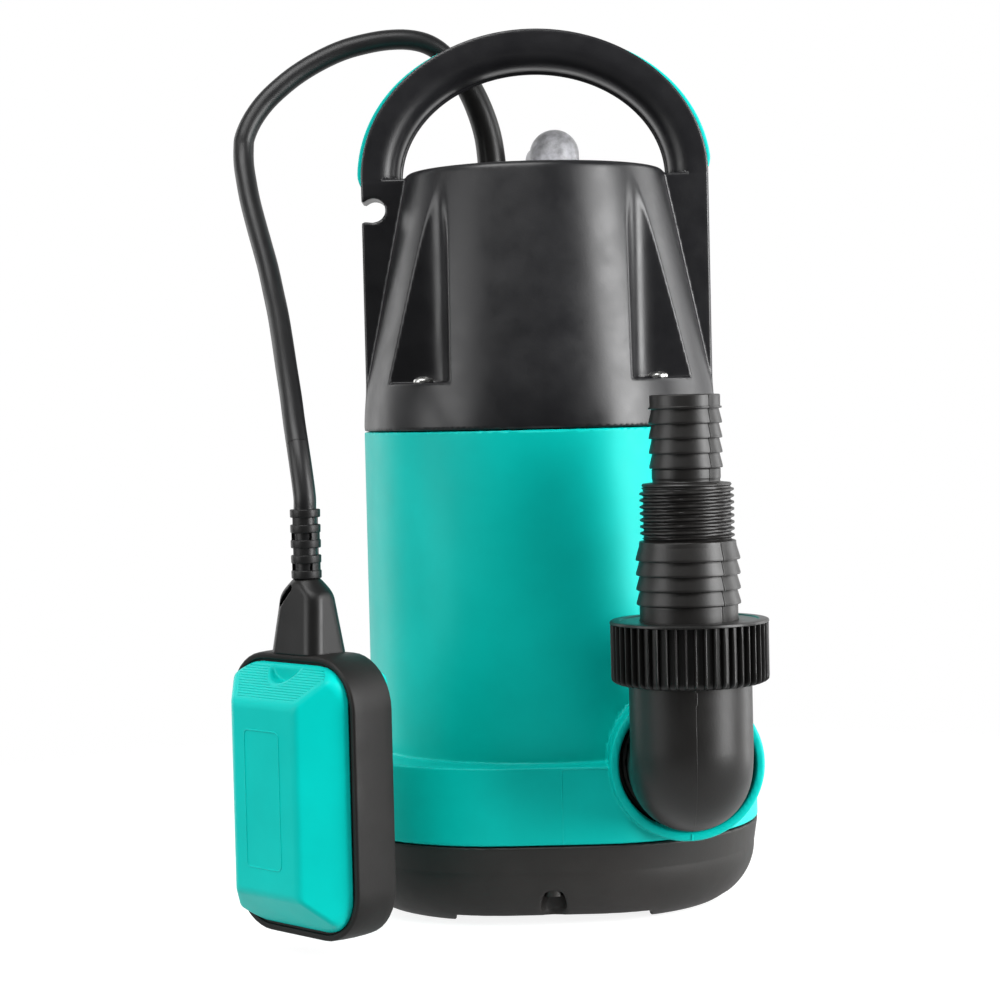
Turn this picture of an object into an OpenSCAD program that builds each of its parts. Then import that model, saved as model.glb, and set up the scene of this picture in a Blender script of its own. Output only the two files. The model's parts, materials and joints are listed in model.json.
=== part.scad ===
// Submersible sump pump with a float switch.
// Millimetres. The origin is on the pump's own axis, on the floor under its feet.
// +Z is up, and the outlet leaves towards -Y.

/* [Strainer base] */
// Height of the base up to the housing's lower edge
base_h = 30.5; // [27:0.5:34]
// Radius of the base's rounded lower edge
base_edge_r = 22; // [16:0.5:24]
// Wall of the base
base_wall = 3; // [2.4:0.1:3.6]
// Height of the feet, which is the height of the inlet gaps between them
inlet_h = 3; // [2:0.5:4]
// Width of the inlet gap between two feet
inlet_w = 72; // [50:1:80]
// Number of radial slots in the base's floor
slot_count = 20; // [12:1:24]
// Width of one radial slot
slot_w = 4; // [2.5:0.5:5]
// Height of the locating lip inside the housing
lip_h = 3.5; // [2.5:0.5:5]
// Distance of the base screws from the foot part's edge
base_screw_inset = 7.1; // [6.8:0.1:7.8]
// Radius of the pocket around a base screw's head
base_pocket_r = 4.35; // [4:0.05:4.8]

/* [Housing] */
// Outer radius of the straight body
body_r = 68.7; // [67:0.1:72]
// Height of the housing from its lower edge to the cap
body_h = 151.5; // [145:0.5:160]
// Wall of the housing
wall = 3; // [2.4:0.1:3.4]
// Step from the body out to the wider foot part at the front and back
foot_step = 7.6; // [7:0.1:8.5]
// Step from the body out to the foot part at its sides
foot_side_step = 12.3; // [11:0.1:13.5]
// Radius of the foot part's four corners
foot_corner_r = 66; // [58:0.5:68]
// Height of the wider foot part
foot_h = 30; // [28:0.5:32]

/* [Outlet] */
// Distance of the outlet's axis from the body's side
outlet_inset = 19.4; // [18.5:0.1:21]
// Height of the outlet's axis above the housing's lower edge
outlet_rise = 29; // [28.8:0.1:31]
// Reach of the outlet shroud's front face beyond the body
outlet_proud = 6.3; // [5:0.1:8]
// Outer radius of the outlet shroud
shroud_r = 28.2; // [28:0.1:28.7]
// Outer radius of the outlet socket inside the shroud
socket_r = 24.5; // [24:0.1:24.8]
// Depth of the socket's front face behind the shroud's front face
socket_recess = 8; // [7:0.5:9]
// Depth of the socket's round seat
socket_depth = 18; // [14:0.5:20]

/* [Elbow and hose connector] */
// Outer radius of the elbow's pipe
pipe_r = 21.7; // [21:0.1:22]
// Inner radius of the elbow's pipe
pipe_bore_r = 17.5; // [16:0.1:17.8]
// Distance of the hose axis in front of the outlet shroud
elbow_reach = 25; // [23:0.5:28]
// Radius of the bend's centre line
bend_r = 10; // [6:0.5:14]
// Height of the elbow's upper end above the outlet's axis
riser_h = 48.5; // [47:0.5:54]
// Radius over the thread at the top of the elbow
elbow_thread_r = 23; // [22.6:0.1:23.2]
// Radius over the ribs of the union nut
nut_r = 28; // [27:0.5:29]
// Height of the union nut
nut_h = 22.6; // [21:0.1:24]
// Number of ribs around the nut
nut_ribs = 50; // [36:1:60]
// Largest radius of the large hose barb
barb_big_r = 18.35; // [17.8:0.05:19]
// Radius between the rings of the large barb
barb_big_root = 17.05; // [16.8:0.05:17.3]
// Number of rings on the large barb
barb_big_rings = 4; // [3:1:5]
// Distance between two rings of a barb
barb_pitch = 5.2; // [4.8:0.1:5.6]
// Outer radius of the pipe thread between the barbs
thread_r = 16.6; // [16.4:0.1:16.8]
// Depth of that thread
thread_depth = 1.25; // [1:0.05:1.4]
// Pitch of that thread
thread_pitch = 2.309; // [2:0.001:2.5]
// Number of turns of that thread
thread_turns = 8; // [6:1:9]
// Largest radius of the small hose barb
barb_small_r = 12.9; // [12.6:0.05:13.2]
// Radius between the rings of the small barb
barb_small_root = 11.8; // [11.6:0.05:12]
// Number of rings on the small barb
barb_small_rings = 5; // [4:1:6]
// Radius of the small barb's plain end
hose_end_r = 12.4; // [12.2:0.05:12.6]
// Length of the small barb's plain end
hose_end_h = 5; // [4:0.5:7]
// Inner radius of the small barb
hose_bore_r = 9.4; // [8:0.1:9.8]

/* [Top cap and handle] */
// Height of the cap's straight skirt
skirt_h = 10; // [8:0.5:12]
// Height of the cap's cone above the skirt
cone_h = 89.5; // [84:0.5:95]
// Radius of the cap's top rim
rim_r = 50; // [48:0.5:52]
// Wall of the cap
cap_wall = 3.5; // [3:0.1:4]
// Depth of a corner pocket's two walls, in from the body's side
pocket_depth = 32.7; // [31:0.1:34]
// Radius between a pocket's two walls
pocket_corner_r = 3.5; // [2:0.5:5]
// Height of a pocket's floor above the cap's lower edge
pocket_floor = 18; // [15:0.5:22]
// Distance of the wings' and the arch's edges from the body's side
arch_inset = 1.4; // [0.7:0.1:2.7]
// Rise of the arch above the cap's top
arch_rise = 55.5; // [52:0.5:60]
// Width of the arch's band at its sides
band_side = 17.3; // [15:0.1:19]
// Width of the arch's band at its top
band_top = 17; // [15:0.1:19]
// Depth of the wings and of the arch
arch_depth = 20; // [16:0.5:24]
// Depth of the green grip strip
grip_depth = 16; // [12:0.5:18]
// Thickness of the grip strip
grip_t = 2.7; // [2.3:0.1:3.2]
// Radius of the cord notch in the left wing
notch_r = 4.6; // [4.3:0.1:5]
// Height of the cord notch below the cap's top
notch_drop = 15; // [13:0.5:20]

/* [Glands] */
// Place of the float cord's gland along X
float_gland_x = -16.3; // [-20:0.1:-12]
// Place of the float cord's gland along Y
float_gland_y = 25; // [22:0.5:28]
// Radius of the cord sleeve at its foot
sleeve_r = 5.7; // [5:0.1:6.2]
// Radius of the cord sleeve at its end
sleeve_end_r = 4.9; // [4.5:0.1:5.2]
// Place of the mains gland along X
mains_x = 8.7; // [7:0.1:11]
// Place of the mains gland along Y
mains_y = 26; // [24:0.5:28]
// Radius of the mains gland
mains_r = 10; // [9:0.1:11]
// Height of the mains gland above the cap
mains_h = 19.5; // [18:0.5:22]
// Angle of the mains gland's mouth, turned from +Y towards -X
mains_turn = 15; // [0:5:60]
// Length of the mains gland's mouth
mains_mouth = 24; // [20:0.5:28]

/* [Float] */
// Radius of the float's cord
cord_r = 4; // [3.5:0.1:4]
// Length of the ribbed strain relief
relief_h = 24.5; // [20:0.5:28]
// Radius of the strain relief
relief_r = 5.4; // [5:0.1:6]
// Height of the float's neck piece
neck_h = 26; // [22:0.5:28]
// Width of the neck piece at the float
neck_w = 25; // [22:0.5:28]
// Width of the float
float_w = 67; // [62:0.5:70]
// Height of the float
float_h = 101; // [96:0.5:101]
// Radius of the float's corners
float_corner_r = 17; // [14:0.5:20]
// Thickness of the black rim band
rim_t = 16; // [14:0.5:18]
// Width of the rim's lip around the shells
rim_lip = 2.5; // [2:0.1:3]
// Height of each bevelled shell
shell_h = 14; // [12:0.5:16]
// Width of the flat panel on a shell
panel_w = 34; // [30:0.5:38]
// Height of the flat panel on a shell
panel_h = 68; // [62:0.5:72]
// Wall of the shells
shell_wall = 2; // [1.6:0.1:2.4]
// Angle of the float about the upright axis
float_turn = -45; // [-60:5:-30]
// Radius of the steel ball
ball_r = 8; // [7:0.1:8.4]
// Travel of the steel ball
ball_travel = 18; // [14:0.5:20]

/* [Pump end] */
// Room between the volute casing and the body's outside
casing_room = 6.7; // [6:0.1:7.5]
// Wall of the volute casing
casing_wall = 5; // [4:0.1:6]
// Thickness of the suction plate
plate_t = 5; // [4:0.5:6]
// Radius of the inlet eye
eye_r = 17; // [14:0.5:20]
// Radius of the impeller
impeller_r = 42; // [38:0.5:46]
// Height of the impeller's vanes
vane_h = 16; // [12:0.5:18]
// Number of vanes
vane_count = 6; // [4:1:8]

/* [Motor] */
// Radius of the shaft
shaft_r = 5; // [4.6:0.1:5.2]
// Radius of the shaft's stepped ends
shaft_end_r = 4; // [3.6:0.1:4.2]
// Room between the motor can and the body's outside
can_room = 12.7; // [12:0.1:14]
// Wall of the motor can
can_wall = 1; // [0.8:0.1:1.2]
// Length of the laminated core
core_h = 38; // [34:0.5:40]
// Radius of the rotor
rotor_r = 27; // [25:0.1:28]
// Air gap between rotor and stator
air_gap = 0.4; // [0.3:0.05:0.6]
// Height of each winding end
coil_h = 13; // [11:0.5:14]
// Outer radius of the lower ball bearing
bearing_low_r = 13; // [12.6:0.1:13.4]
// Height of the lower ball bearing
bearing_low_h = 8; // [7:0.5:9]
// Outer radius of the upper ball bearing
bearing_up_r = 11; // [10.6:0.1:11.4]
// Height of the upper ball bearing
bearing_up_h = 7; // [6:0.5:7]
// Radius of the start capacitor
capacitor_r = 16; // [13:0.5:17]
// Height of the start capacitor
capacitor_h = 50; // [40:1:56]

/* [Fasteners] */
// Radius of the screws' shanks
screw_r = 2; // [1.8:0.1:2.2]
// Radius of the screws' heads
head_r = 3.8; // [3.4:0.1:3.9]
// Height of the screws' heads
head_h = 2.6; // [2:0.1:3]

/* [Clearances] */
// Radial clearance of a turning fit
run_fit = 0.06; // [0.03:0.01:0.09]
// Gap between two pieces that don't touch
gap = 0.3; // [0.2:0.05:0.4]
// Radial clearance of a fixed fit
fix_fit = 0.05; // [0.02:0.01:0.1]

/* [Hidden] */
$fn = 96;
eps = 1;
smooth_fn = 48;

// Colours
c_black = [0.13, 0.13, 0.14];
c_soft_black = [0.17, 0.17, 0.18];
c_teal = [0.0, 0.70, 0.66];
c_steel = [0.72, 0.73, 0.75];
c_alloy = [0.62, 0.64, 0.66];
c_copper = [0.72, 0.40, 0.20];
c_iron = [0.42, 0.43, 0.45];
c_ceramic = [0.90, 0.88, 0.82];
c_grey = [0.55, 0.57, 0.60];

// Heights of the housing, the cap and the outlet
seam_z = base_h;
lip_z = seam_z + lip_h;
foot_r = body_r + foot_step;
foot_side = body_r + foot_side_step;
foot_z = seam_z + foot_h;
base_screw_at = foot_r - base_screw_inset;
outlet_x = body_r - outlet_inset;
outlet_reach = body_r + outlet_proud;
shoulder_h = 1.5;
cap_z = seam_z + body_h;
cone_z = cap_z + skirt_h;
top_z = cone_z + cone_h;
outlet_z = seam_z + outlet_rise;
base_taper = 1.5;
edge_angle = 72;
base_head_z = base_edge_r - 8;

// Radii and heights of the pump end
casing_r = body_r - casing_room;
chamber_r = casing_r - casing_wall;
flange_t = 3;
plate_z = lip_z + plate_t;
chamber_top = outlet_z + pipe_bore_r + 3;
casing_top = chamber_top + 4;
vane_z = plate_z + 4;
disc_z = vane_z + vane_h;
disc_t = 3;
passage_y = 15;
boss_h = 7;
boss_r = 5.5;
boss_rib = 4;

// Heights of the seal, the bearings and the motor
seat_t = 5;
seat_r = 11;
head_ring_t = 5;
head_ring_r = 9;
spring_rings = 4;
spring_wire = 1.4;
bracket_t = 6;
bracket_top = casing_top + bracket_t;
seat_top = chamber_top + seat_t;
seal_head_top = seat_top + head_ring_t;
spring_top = seal_head_top + spring_rings * spring_wire;
lip_seal_z = spring_top + 0.4;
lip_seal_t = 5;
lip_seal_r = 12;
bearing_low_z = lip_seal_z + lip_seal_t;
coil_z = bearing_low_z + bearing_low_h - 4;
core_z = coil_z + coil_h;
core_top = core_z + core_h;
coil_top = core_top + coil_h;
upper_bracket_z = coil_top + 3.2;
upper_bracket_t = 4;
upper_top = upper_bracket_z + upper_bracket_t;
bearing_up_drop = 6;
bearing_up_z = upper_bracket_z - bearing_up_drop;
can_r = body_r - can_room;
core_hole = shaft_r + fix_fit;
stator_bore = rotor_r + air_gap;
stator_slots = 12;
stator_slot_r = 3.2;
cage_bars = 12;
cage_bar_r = 2;
parts_y = 24;
terminal_l = 36;
terminal_w = 16;
terminal_h = 14;
tie_at = can_r + 3.5;
tie_turn = 10;
tie_lug_r = 4.5;
tie_bite = 12;

// Cap, pockets and arch
arch_a = body_r - arch_inset;
pocket_in = body_r - pocket_depth;
pocket_wall = 2.5;
shelf_z = cap_z + pocket_floor;
shelf_t = 3;
cap_screw_at = body_r - 6.7;
column_r = 5;
cap_seal_r = 0.9;
arch_z = top_z - 2;
arch_b = arch_rise + 2;
inner_a = arch_a - band_side;
inner_b = arch_b - band_top;
grip_proud = 1.2;
grip_top_proud = 0.4;
wing_foot = cone_z;
notch_x = arch_a - notch_r;
notch_z = top_z - notch_drop;

// Elbow and hose connector
hose_y = -(outlet_reach + elbow_reach);
riser_top = outlet_z + riser_h;
washer_t = 1.3;
union_flange_t = 2;
flange_z = riser_top + washer_t;
flange_top = flange_z + union_flange_t;
nut_lip_t = 3;
nut_top = flange_top + run_fit + nut_lip_t;
nut_z = nut_top - nut_h;
neck_r = barb_big_root + 0.25;
barb_big_z = nut_top + 5.4;
barb_big_top = barb_big_z + barb_big_rings * barb_pitch;
thread_z = barb_big_top + 2;
thread_top = thread_z + thread_turns * thread_pitch;
barb_small_z = thread_top + 6.5;
barb_small_top = barb_small_z + (barb_small_rings - 1) * barb_pitch;
hose_top = barb_small_top + hose_end_h;
ring_groove = 2.6;
collar_r = socket_r - 0.9;

// The float cord's route, from the top of its gland sleeve round to the float.
// The upper stretch ends just before the swing pivot, and the lower one begins on it.
sleeve_route = [[-16.3, 25, 284], [-16.7, 25, 291], [-17.8, 25, 299], [-20, 24.5, 307], [-23.2, 23.5, 315],
                [-27.2, 22, 322], [-32, 20.5, 328.2]];
upper_route = [[-32, 20.5, 328.2], [-36.5, 19.5, 332.6], [-42, 18.4, 335.6], [-49, 17.6, 337],
               [-57, 17, 336.9], [-65, 16, 335.6], [-74, 15, 333.2], [-83, 13.5, 329.2],
               [-92, 11.6, 323.8], [-99.5, 9.6, 317.8], [-105.5, 8, 311.8], [-110.2, 6, 305],
               [-113, 4, 298.4]];
swing_pivot = [-113.5, 3, 294];
lower_route = [[-113.5, 3, 294], [-113.3, 0.4, 287.5], [-112, -4, 280], [-110.2, -9.5, 272],
               [-107.6, -16, 263], [-104.8, -23, 254], [-102, -30.5, 245], [-99.4, -39, 235],
               [-97, -48, 226], [-94.8, -58, 216], [-92.8, -68, 206.5], [-90.6, -78, 196],
               [-89, -86, 187], [-87.4, -92.6, 178.5], [-86, -97, 170], [-84.8, -100, 160.8]];
tilt_pivot = [-84.8, -100, 160.8];
cord_sides = 10;
cord_end_r = cord_r + 0.05;
relief_top = tilt_pivot[2] - cord_end_r - gap;

// Heights inside the float, counted down from the top of the strain relief
neck_top = -relief_h;
rim_top = neck_top - neck_h;
float_mid = rim_top - float_h / 2;
panel_corner_r = 6;
ballast_l = 28;
ballast_w = 14;
ballast_h = 7;
ballast_z = rim_top - float_h + rim_lip + 2.2;
track_wall = 1.5;
track_room = 3.3;
track_z = ballast_z + ballast_h + track_room + track_wall;
lever_push = 1.2;
track_top = track_z + 2 * ball_r + ball_travel - lever_push;
lever_end = 6;
switch_l = 24;
switch_w = 10;
switch_h = 12;
switch_leg_l = 5.5;
switch_leg_h = 7;

// ---------------------------------------------------------------- shared shapes

module tube(r_out, r_in, z0, z1) {
    difference() {
        translate([0, 0, z0]) cylinder(r = r_out, h = z1 - z0);
        translate([0, 0, z0 - eps]) cylinder(r = r_in, h = z1 - z0 + 2 * eps);
    }
}

module rod(r, z0, z1) {
    translate([0, 0, z0]) cylinder(r = r, h = z1 - z0);
}

// Copies around the pump's axis
module around(at, turn = 0, count = 4) {
    for (i = [0:count - 1]) rotate([0, 0, turn + i * 360 / count]) translate([at, 0, 0]) children();
}

// The outlet's own frame: local +Z points out of the pump, towards -Y
module at_outlet() {
    translate([outlet_x, 0, outlet_z]) rotate([90, 0, 0]) children();
}

// The hose axis: local +Z is up
module at_hose() {
    translate([outlet_x, hose_y, 0]) children();
}

// The float's frame: its origin is at the top of the strain relief, and -Y is its front
module at_float() {
    translate([tilt_pivot[0], tilt_pivot[1], relief_top]) rotate([0, 0, float_turn]) children();
}

module rounded_rect(w, h, r) {
    square([w - 2 * r, h], center = true);
    square([w, h - 2 * r], center = true);
    for (sx = [-1, 1], sy = [-1, 1]) translate([sx * (w / 2 - r), sy * (h / 2 - r)]) circle(r = r);
}

// A slab in the float's frame, upright, from y0 to y1 behind its middle plane
module float_slab(w, h, r, y0, y1) {
    translate([0, y1, float_mid]) rotate([90, 0, 0]) linear_extrude(height = y1 - y0) rounded_rect(w, h, r);
}

// Profile of the base's bowl for a disc of radius r, set in by the wall t above floor height f
function bowl_profile(r, t, f, top) =
    let (mid_z = base_edge_r * sin(edge_angle),
         mid_r = r - base_taper - base_edge_r,
         er = base_edge_r - t,
         a0 = asin(min(0.999, (mid_z - f) / er)))
    concat([[0, f]],
           [for (i = [0:6]) let (a = -a0 * (1 - i / 6)) [mid_r + er * cos(a), mid_z + er * sin(a)]],
           [[r - t, top], [0, top]]);

// Copies at the centres of the foot part's four rounded corners
module at_foot_corners() {
    for (sx = [-1, 1], sy = [-1, 1])
        translate([sx * (foot_side - foot_corner_r), sy * (foot_r - foot_corner_r), 0]) children();
}

// The foot part's outline, set in from its outside
module foot_outline(inset) {
    rounded_rect(2 * (foot_side - inset), 2 * (foot_r - inset), foot_corner_r - inset);
}

// The base's outline as a solid, rounded below
module bowl(t, f, top) {
    hull() at_foot_corners()
        rotate_extrude($fn = smooth_fn) polygon(bowl_profile(foot_corner_r, t, f, top));
}

// One disc of the housing's foot part, with an eased upper edge
module foot_disc(r, z0, z1, ease) {
    rotate_extrude($fn = smooth_fn)
        polygon(concat([[0, z0], [r, z0]],
                       [for (i = [0:4]) let (a = i * 90 / 4)
                           [r - ease + ease * cos(a), z1 - ease + ease * sin(a)]],
                       [[0, z1]]));
}

module foot_solid(t, z0, z1, ease) {
    hull() at_foot_corners() foot_disc(foot_corner_r - t, z0, z1, ease);
}

// Points of an ellipse from angle a0 to angle a1
function ellipse_points(a, b, a0, a1, steps) =
    [for (i = [0:steps]) let (t = a0 + (a1 - a0) * i / steps) [a * cos(t), b * sin(t)]];

// A plate in the XZ plane, centred on Y = 0, drawn from an outline in X and Z
module plate(depth) {
    rotate([90, 0, 0]) translate([0, 0, -depth / 2]) linear_extrude(height = depth) children();
}

// ---------------------------------------------------------------- swept cord

function unit(v) = v / norm(v);
function heading(p, i) = unit(p[min(i + 1, len(p) - 1)] - p[max(i - 1, 0)]);
function ring_points(p, i, r) =
    let (t = heading(p, i), u = unit(cross(t, [0, 1, 0])), v = cross(t, u))
    [for (k = [0:cord_sides - 1]) let (a = 360 * k / cord_sides) p[i] + r * (cos(a) * u + sin(a) * v)];
function ring_radius(r0, r1, i, n) = r0 + (r1 - r0) * i / (n - 1);

module sweep(p, r0, r1) {
    n = len(p);
    m = cord_sides;
    points = [for (i = [0:n - 1]) each ring_points(p, i, ring_radius(r0, r1, i, n))];
    sides = [for (i = [0:n - 2], k = [0:m - 1])
                [i * m + k, (i + 1) * m + k, (i + 1) * m + (k + 1) % m, i * m + (k + 1) % m]];
    first = [[for (k = [0:m - 1]) k]];
    last = [[for (k = [m - 1:-1:0]) (n - 1) * m + k]];
    polyhedron(points = points, faces = concat(sides, first, last), convexity = 10);
}

// ---------------------------------------------------------------- base and housing

module base_strainer() {
    hub_r = 14;
    feet_in = 46;
    floor_t = 3;
    slot_len = 34;
    color(c_black) difference() {
        union() {
            difference() {
                bowl(0, 0, seam_z);
                bowl(base_wall, inlet_h + floor_t, seam_z + eps);
            }
            translate([0, 0, seam_z - 8]) linear_extrude(height = lip_z - seam_z + 8) difference() {
                foot_outline(wall + gap + 0.2);
                foot_outline(wall + 3.4);
            }
            intersection() {
                around(base_screw_at) rod(base_pocket_r + 1.9, inlet_h + floor_t - 1, seam_z);
                bowl(0.2, 0, seam_z);
            }
        }
        // inlet gaps between the feet, open at the rim and under the floor
        for (turn = [0, 90]) rotate([0, 0, turn])
            translate([-inlet_w / 2, -foot_side - eps, -eps])
                cube([inlet_w, 2 * (foot_side + eps), inlet_h + eps]);
        tube(feet_in, hub_r, -eps, inlet_h);
        // slots in the floor
        for (i = [0:slot_count - 1]) rotate([0, 0, (i + 0.5) * 360 / slot_count])
            translate([hub_r + 5, -slot_w / 2, -eps])
                cube([slot_len, slot_w, inlet_h + floor_t + 2 * eps]);
        around(base_screw_at) {
            rod(base_pocket_r, -eps, base_head_z);
            rod(screw_r + 0.2, 0, lip_z + eps);
        }
    }
    color(c_black) rod(hub_r, 0, inlet_h);
}

module base_screws() {
    color(c_steel) around(base_screw_at) {
        rod(head_r, base_head_z - head_h, base_head_z);
        rod(screw_r, base_head_z, lip_z + flange_t + gap + boss_h - 1);
    }
}

module pump_housing() {
    boss_z = lip_z + flange_t + gap;
    color(c_teal) difference() {
        union() {
            difference() {
                union() {
                    rod(body_r, foot_z - 8, cap_z);
                    foot_solid(0, seam_z, foot_z, shoulder_h);
                    at_outlet() rod(shroud_r, passage_y, outlet_reach);
                    translate([outlet_x, -passage_y, outlet_z]) sphere(r = shroud_r);
                }
                rod(body_r - wall, foot_z - 8, cap_z + eps);
                foot_solid(wall, seam_z - eps, foot_z - wall, 0.5);
                at_outlet() rod(socket_r + 0.25, passage_y, outlet_reach + eps);
                translate([outlet_x, -passage_y, outlet_z]) sphere(r = socket_r + 0.25);
            }
            around(base_screw_at) rod(boss_r, boss_z, boss_z + boss_h);
            // a rib from each boss into the foot part's wall
            translate([0, 0, boss_z]) linear_extrude(height = boss_h) intersection() {
                foot_outline(wall / 2);
                for (i = [0:3]) rotate(i * 90) translate([base_screw_at, -boss_rib / 2])
                    square([foot_side, boss_rib]);
            }
            intersection() {
                around(cap_screw_at, 45) rod(column_r - 0.5, cap_z - 18, cap_z);
                rod(body_r - 0.5, foot_z, cap_z);
            }
        }
        around(base_screw_at) rod(screw_r + fix_fit, boss_z - eps, boss_z + boss_h - 0.6);
        around(cap_screw_at, 45) rod(screw_r + fix_fit, cap_z - 16, cap_z + eps);
    }
}

// ---------------------------------------------------------------- pump end

module suction_plate() {
    color(c_soft_black) difference() {
        rod(chamber_r - fix_fit, lip_z, plate_z);
        rod(eye_r, lip_z - eps, plate_z + eps);
    }
}

module volute_casing() {
    mouth = outlet_reach - socket_recess;
    color(c_soft_black) difference() {
        union() {
            rod(casing_r, lip_z, casing_top);
            rod(foot_r - wall - gap - 0.2, lip_z, lip_z + flange_t);
            at_outlet() rod(socket_r, passage_y, mouth);
            translate([outlet_x, -passage_y, outlet_z]) sphere(r = socket_r);
        }
        rod(chamber_r, lip_z - eps, chamber_top);
        at_outlet() {
            rod(pipe_bore_r, passage_y, mouth + eps);
            rod(pipe_r + run_fit, mouth - socket_depth, mouth + eps);
        }
        translate([outlet_x, -passage_y, outlet_z]) sphere(r = pipe_bore_r);
        rod(seat_r + fix_fit, chamber_top - eps, casing_top + eps);
        around(base_screw_at) rod(screw_r + 0.2, lip_z - eps, lip_z + flange_t + eps);
        around(tie_at, tie_turn) rod(screw_r + fix_fit, casing_top - tie_bite, casing_top + eps);
    }
}

module impeller() {
    hub_r = 9;
    vane_t = 3;
    vane_lean = 25;
    color(c_soft_black) difference() {
        union() {
            rod(impeller_r, disc_z, disc_z + disc_t);
            rod(hub_r, vane_z, disc_z + disc_t + 4);
            around(hub_r - 3, 0, vane_count) rotate([0, 0, -vane_lean])
                translate([0, 0, vane_z]) cube([impeller_r - hub_r, vane_t, vane_h + eps]);
        }
        rod(shaft_end_r + fix_fit, vane_z - eps, disc_z + disc_t + 4 + eps);
    }
}

module impeller_nut() {
    color(c_steel) difference() {
        translate([0, 0, vane_z - 3.4]) cylinder(r = 7, h = 3.4, $fn = 6);
        rod(shaft_end_r + fix_fit, vane_z - 3.4 - eps, vane_z + eps);
    }
}

module shaft() {
    color(c_steel) union() {
        rod(shaft_end_r, vane_z - 3.8, disc_z + disc_t + 4);
        rod(shaft_r, disc_z + disc_t + 4, bearing_up_z);
        rod(shaft_end_r, bearing_up_z, bearing_up_z + bearing_up_h);
    }
}

module seal_seat() {
    color(c_ceramic) tube(seat_r, shaft_r + 0.6, chamber_top, seat_top);
}

module seal_head() {
    color(c_iron) tube(head_ring_r, shaft_r + fix_fit, seat_top + run_fit, seal_head_top);
}

// A stack of wave washers that presses the rotating head on its seat
module seal_spring() {
    color(c_steel) for (i = [0:spring_rings - 1])
        tube(head_ring_r - 0.6 - 0.5 * (i % 2), shaft_r + 0.8, seal_head_top + i * spring_wire,
             seal_head_top + (i + 1) * spring_wire);
}

module lip_seal() {
    color(c_soft_black) tube(lip_seal_r, shaft_r + run_fit, lip_seal_z, lip_seal_z + lip_seal_t);
}

module lower_bracket() {
    boss = bearing_low_r + 5;
    color(c_alloy) difference() {
        union() {
            rod(casing_r, casing_top, bracket_top);
            around(tie_at, tie_turn) rod(tie_lug_r, casing_top, bracket_top);
            tube(can_r - can_wall - fix_fit, can_r - can_wall - 3, bracket_top - eps, bracket_top + 4);
            rod(boss, bracket_top - eps, bearing_low_z + bearing_low_h);
        }
        rod(lip_seal_r + 2, casing_top - eps, lip_seal_z - 0.2);
        rod(lip_seal_r + fix_fit, casing_top, bearing_low_z + eps);
        rod(bearing_low_r + fix_fit, bearing_low_z, bearing_low_z + bearing_low_h + eps);
        around(tie_at, tie_turn) rod(screw_r + 0.2, casing_top - eps, bracket_top + eps);
    }
}

// ---------------------------------------------------------------- motor

module bearing_outer(r, race, z0, h) {
    color(c_steel) tube(r, race, z0, z0 + h);
}

// Inner ring of a ball bearing, with its balls around it
module bearing_inner(r_in, r_ring, ball_at, r_ball, count, z0, h) {
    color(c_steel) {
        tube(r_ring, r_in, z0, z0 + h);
        around(ball_at, 0, count) translate([0, 0, z0 + h / 2]) sphere(r = r_ball);
    }
}

// Radii of a bearing's races, worked out from its outside and its shaft
function race_gap(r_out, r_in) = (r_out - r_in) * 0.45;
function race_out(r_out, r_in) = (r_out + r_in) / 2 + race_gap(r_out, r_in) / 2;
function race_in(r_out, r_in) = (r_out + r_in) / 2 - race_gap(r_out, r_in) / 2;

module lower_bearing_outer() {
    bearing_outer(bearing_low_r, race_out(bearing_low_r, shaft_r), bearing_low_z, bearing_low_h);
}

module lower_bearing_inner() {
    bearing_inner(shaft_r + fix_fit, race_in(bearing_low_r, shaft_r), (bearing_low_r + shaft_r) / 2,
                  race_gap(bearing_low_r, shaft_r) / 2 - run_fit, 8, bearing_low_z, bearing_low_h);
}

module upper_bearing_outer() {
    bearing_outer(bearing_up_r, race_out(bearing_up_r, shaft_end_r), bearing_up_z, bearing_up_h);
}

module upper_bearing_inner() {
    bearing_inner(shaft_end_r + fix_fit, race_in(bearing_up_r, shaft_end_r),
                  (bearing_up_r + shaft_end_r) / 2,
                  race_gap(bearing_up_r, shaft_end_r) / 2 - run_fit, 7, bearing_up_z, bearing_up_h);
}

module motor_can() {
    color(c_steel) tube(can_r, can_r - can_wall, bracket_top, upper_bracket_z);
}

module stator_core() {
    color(c_iron) difference() {
        tube(can_r - can_wall - fix_fit, stator_bore, core_z, core_top);
        around(stator_bore + 10, 15, stator_slots) rod(stator_slot_r, core_z - eps, core_top + eps);
    }
}

module stator_windings() {
    ring_in = stator_bore + 4;
    ring_out = can_r - can_wall - 6;
    color(c_copper) union() {
        tube(ring_out, ring_in, coil_z, core_z);
        tube(ring_out, ring_in, core_top, coil_top);
        around(stator_bore + 10, 15, stator_slots)
            rod(stator_slot_r - fix_fit, core_z - eps, core_top + eps);
    }
}

module rotor_core() {
    color(c_iron) difference() {
        tube(rotor_r, core_hole, core_z, core_top);
        around(rotor_r - 4, 0, cage_bars) rod(cage_bar_r, core_z - eps, core_top + eps);
    }
}

module rotor_cage() {
    ring_in = shaft_r + 9;
    ring_h = 5;
    color(c_alloy) union() {
        tube(rotor_r - 1, ring_in, core_z - ring_h, core_z);
        tube(rotor_r - 1, ring_in, core_top, core_top + ring_h);
        around(rotor_r - 4, 0, cage_bars) rod(cage_bar_r - fix_fit, core_z - eps, core_top + eps);
    }
}

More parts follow.
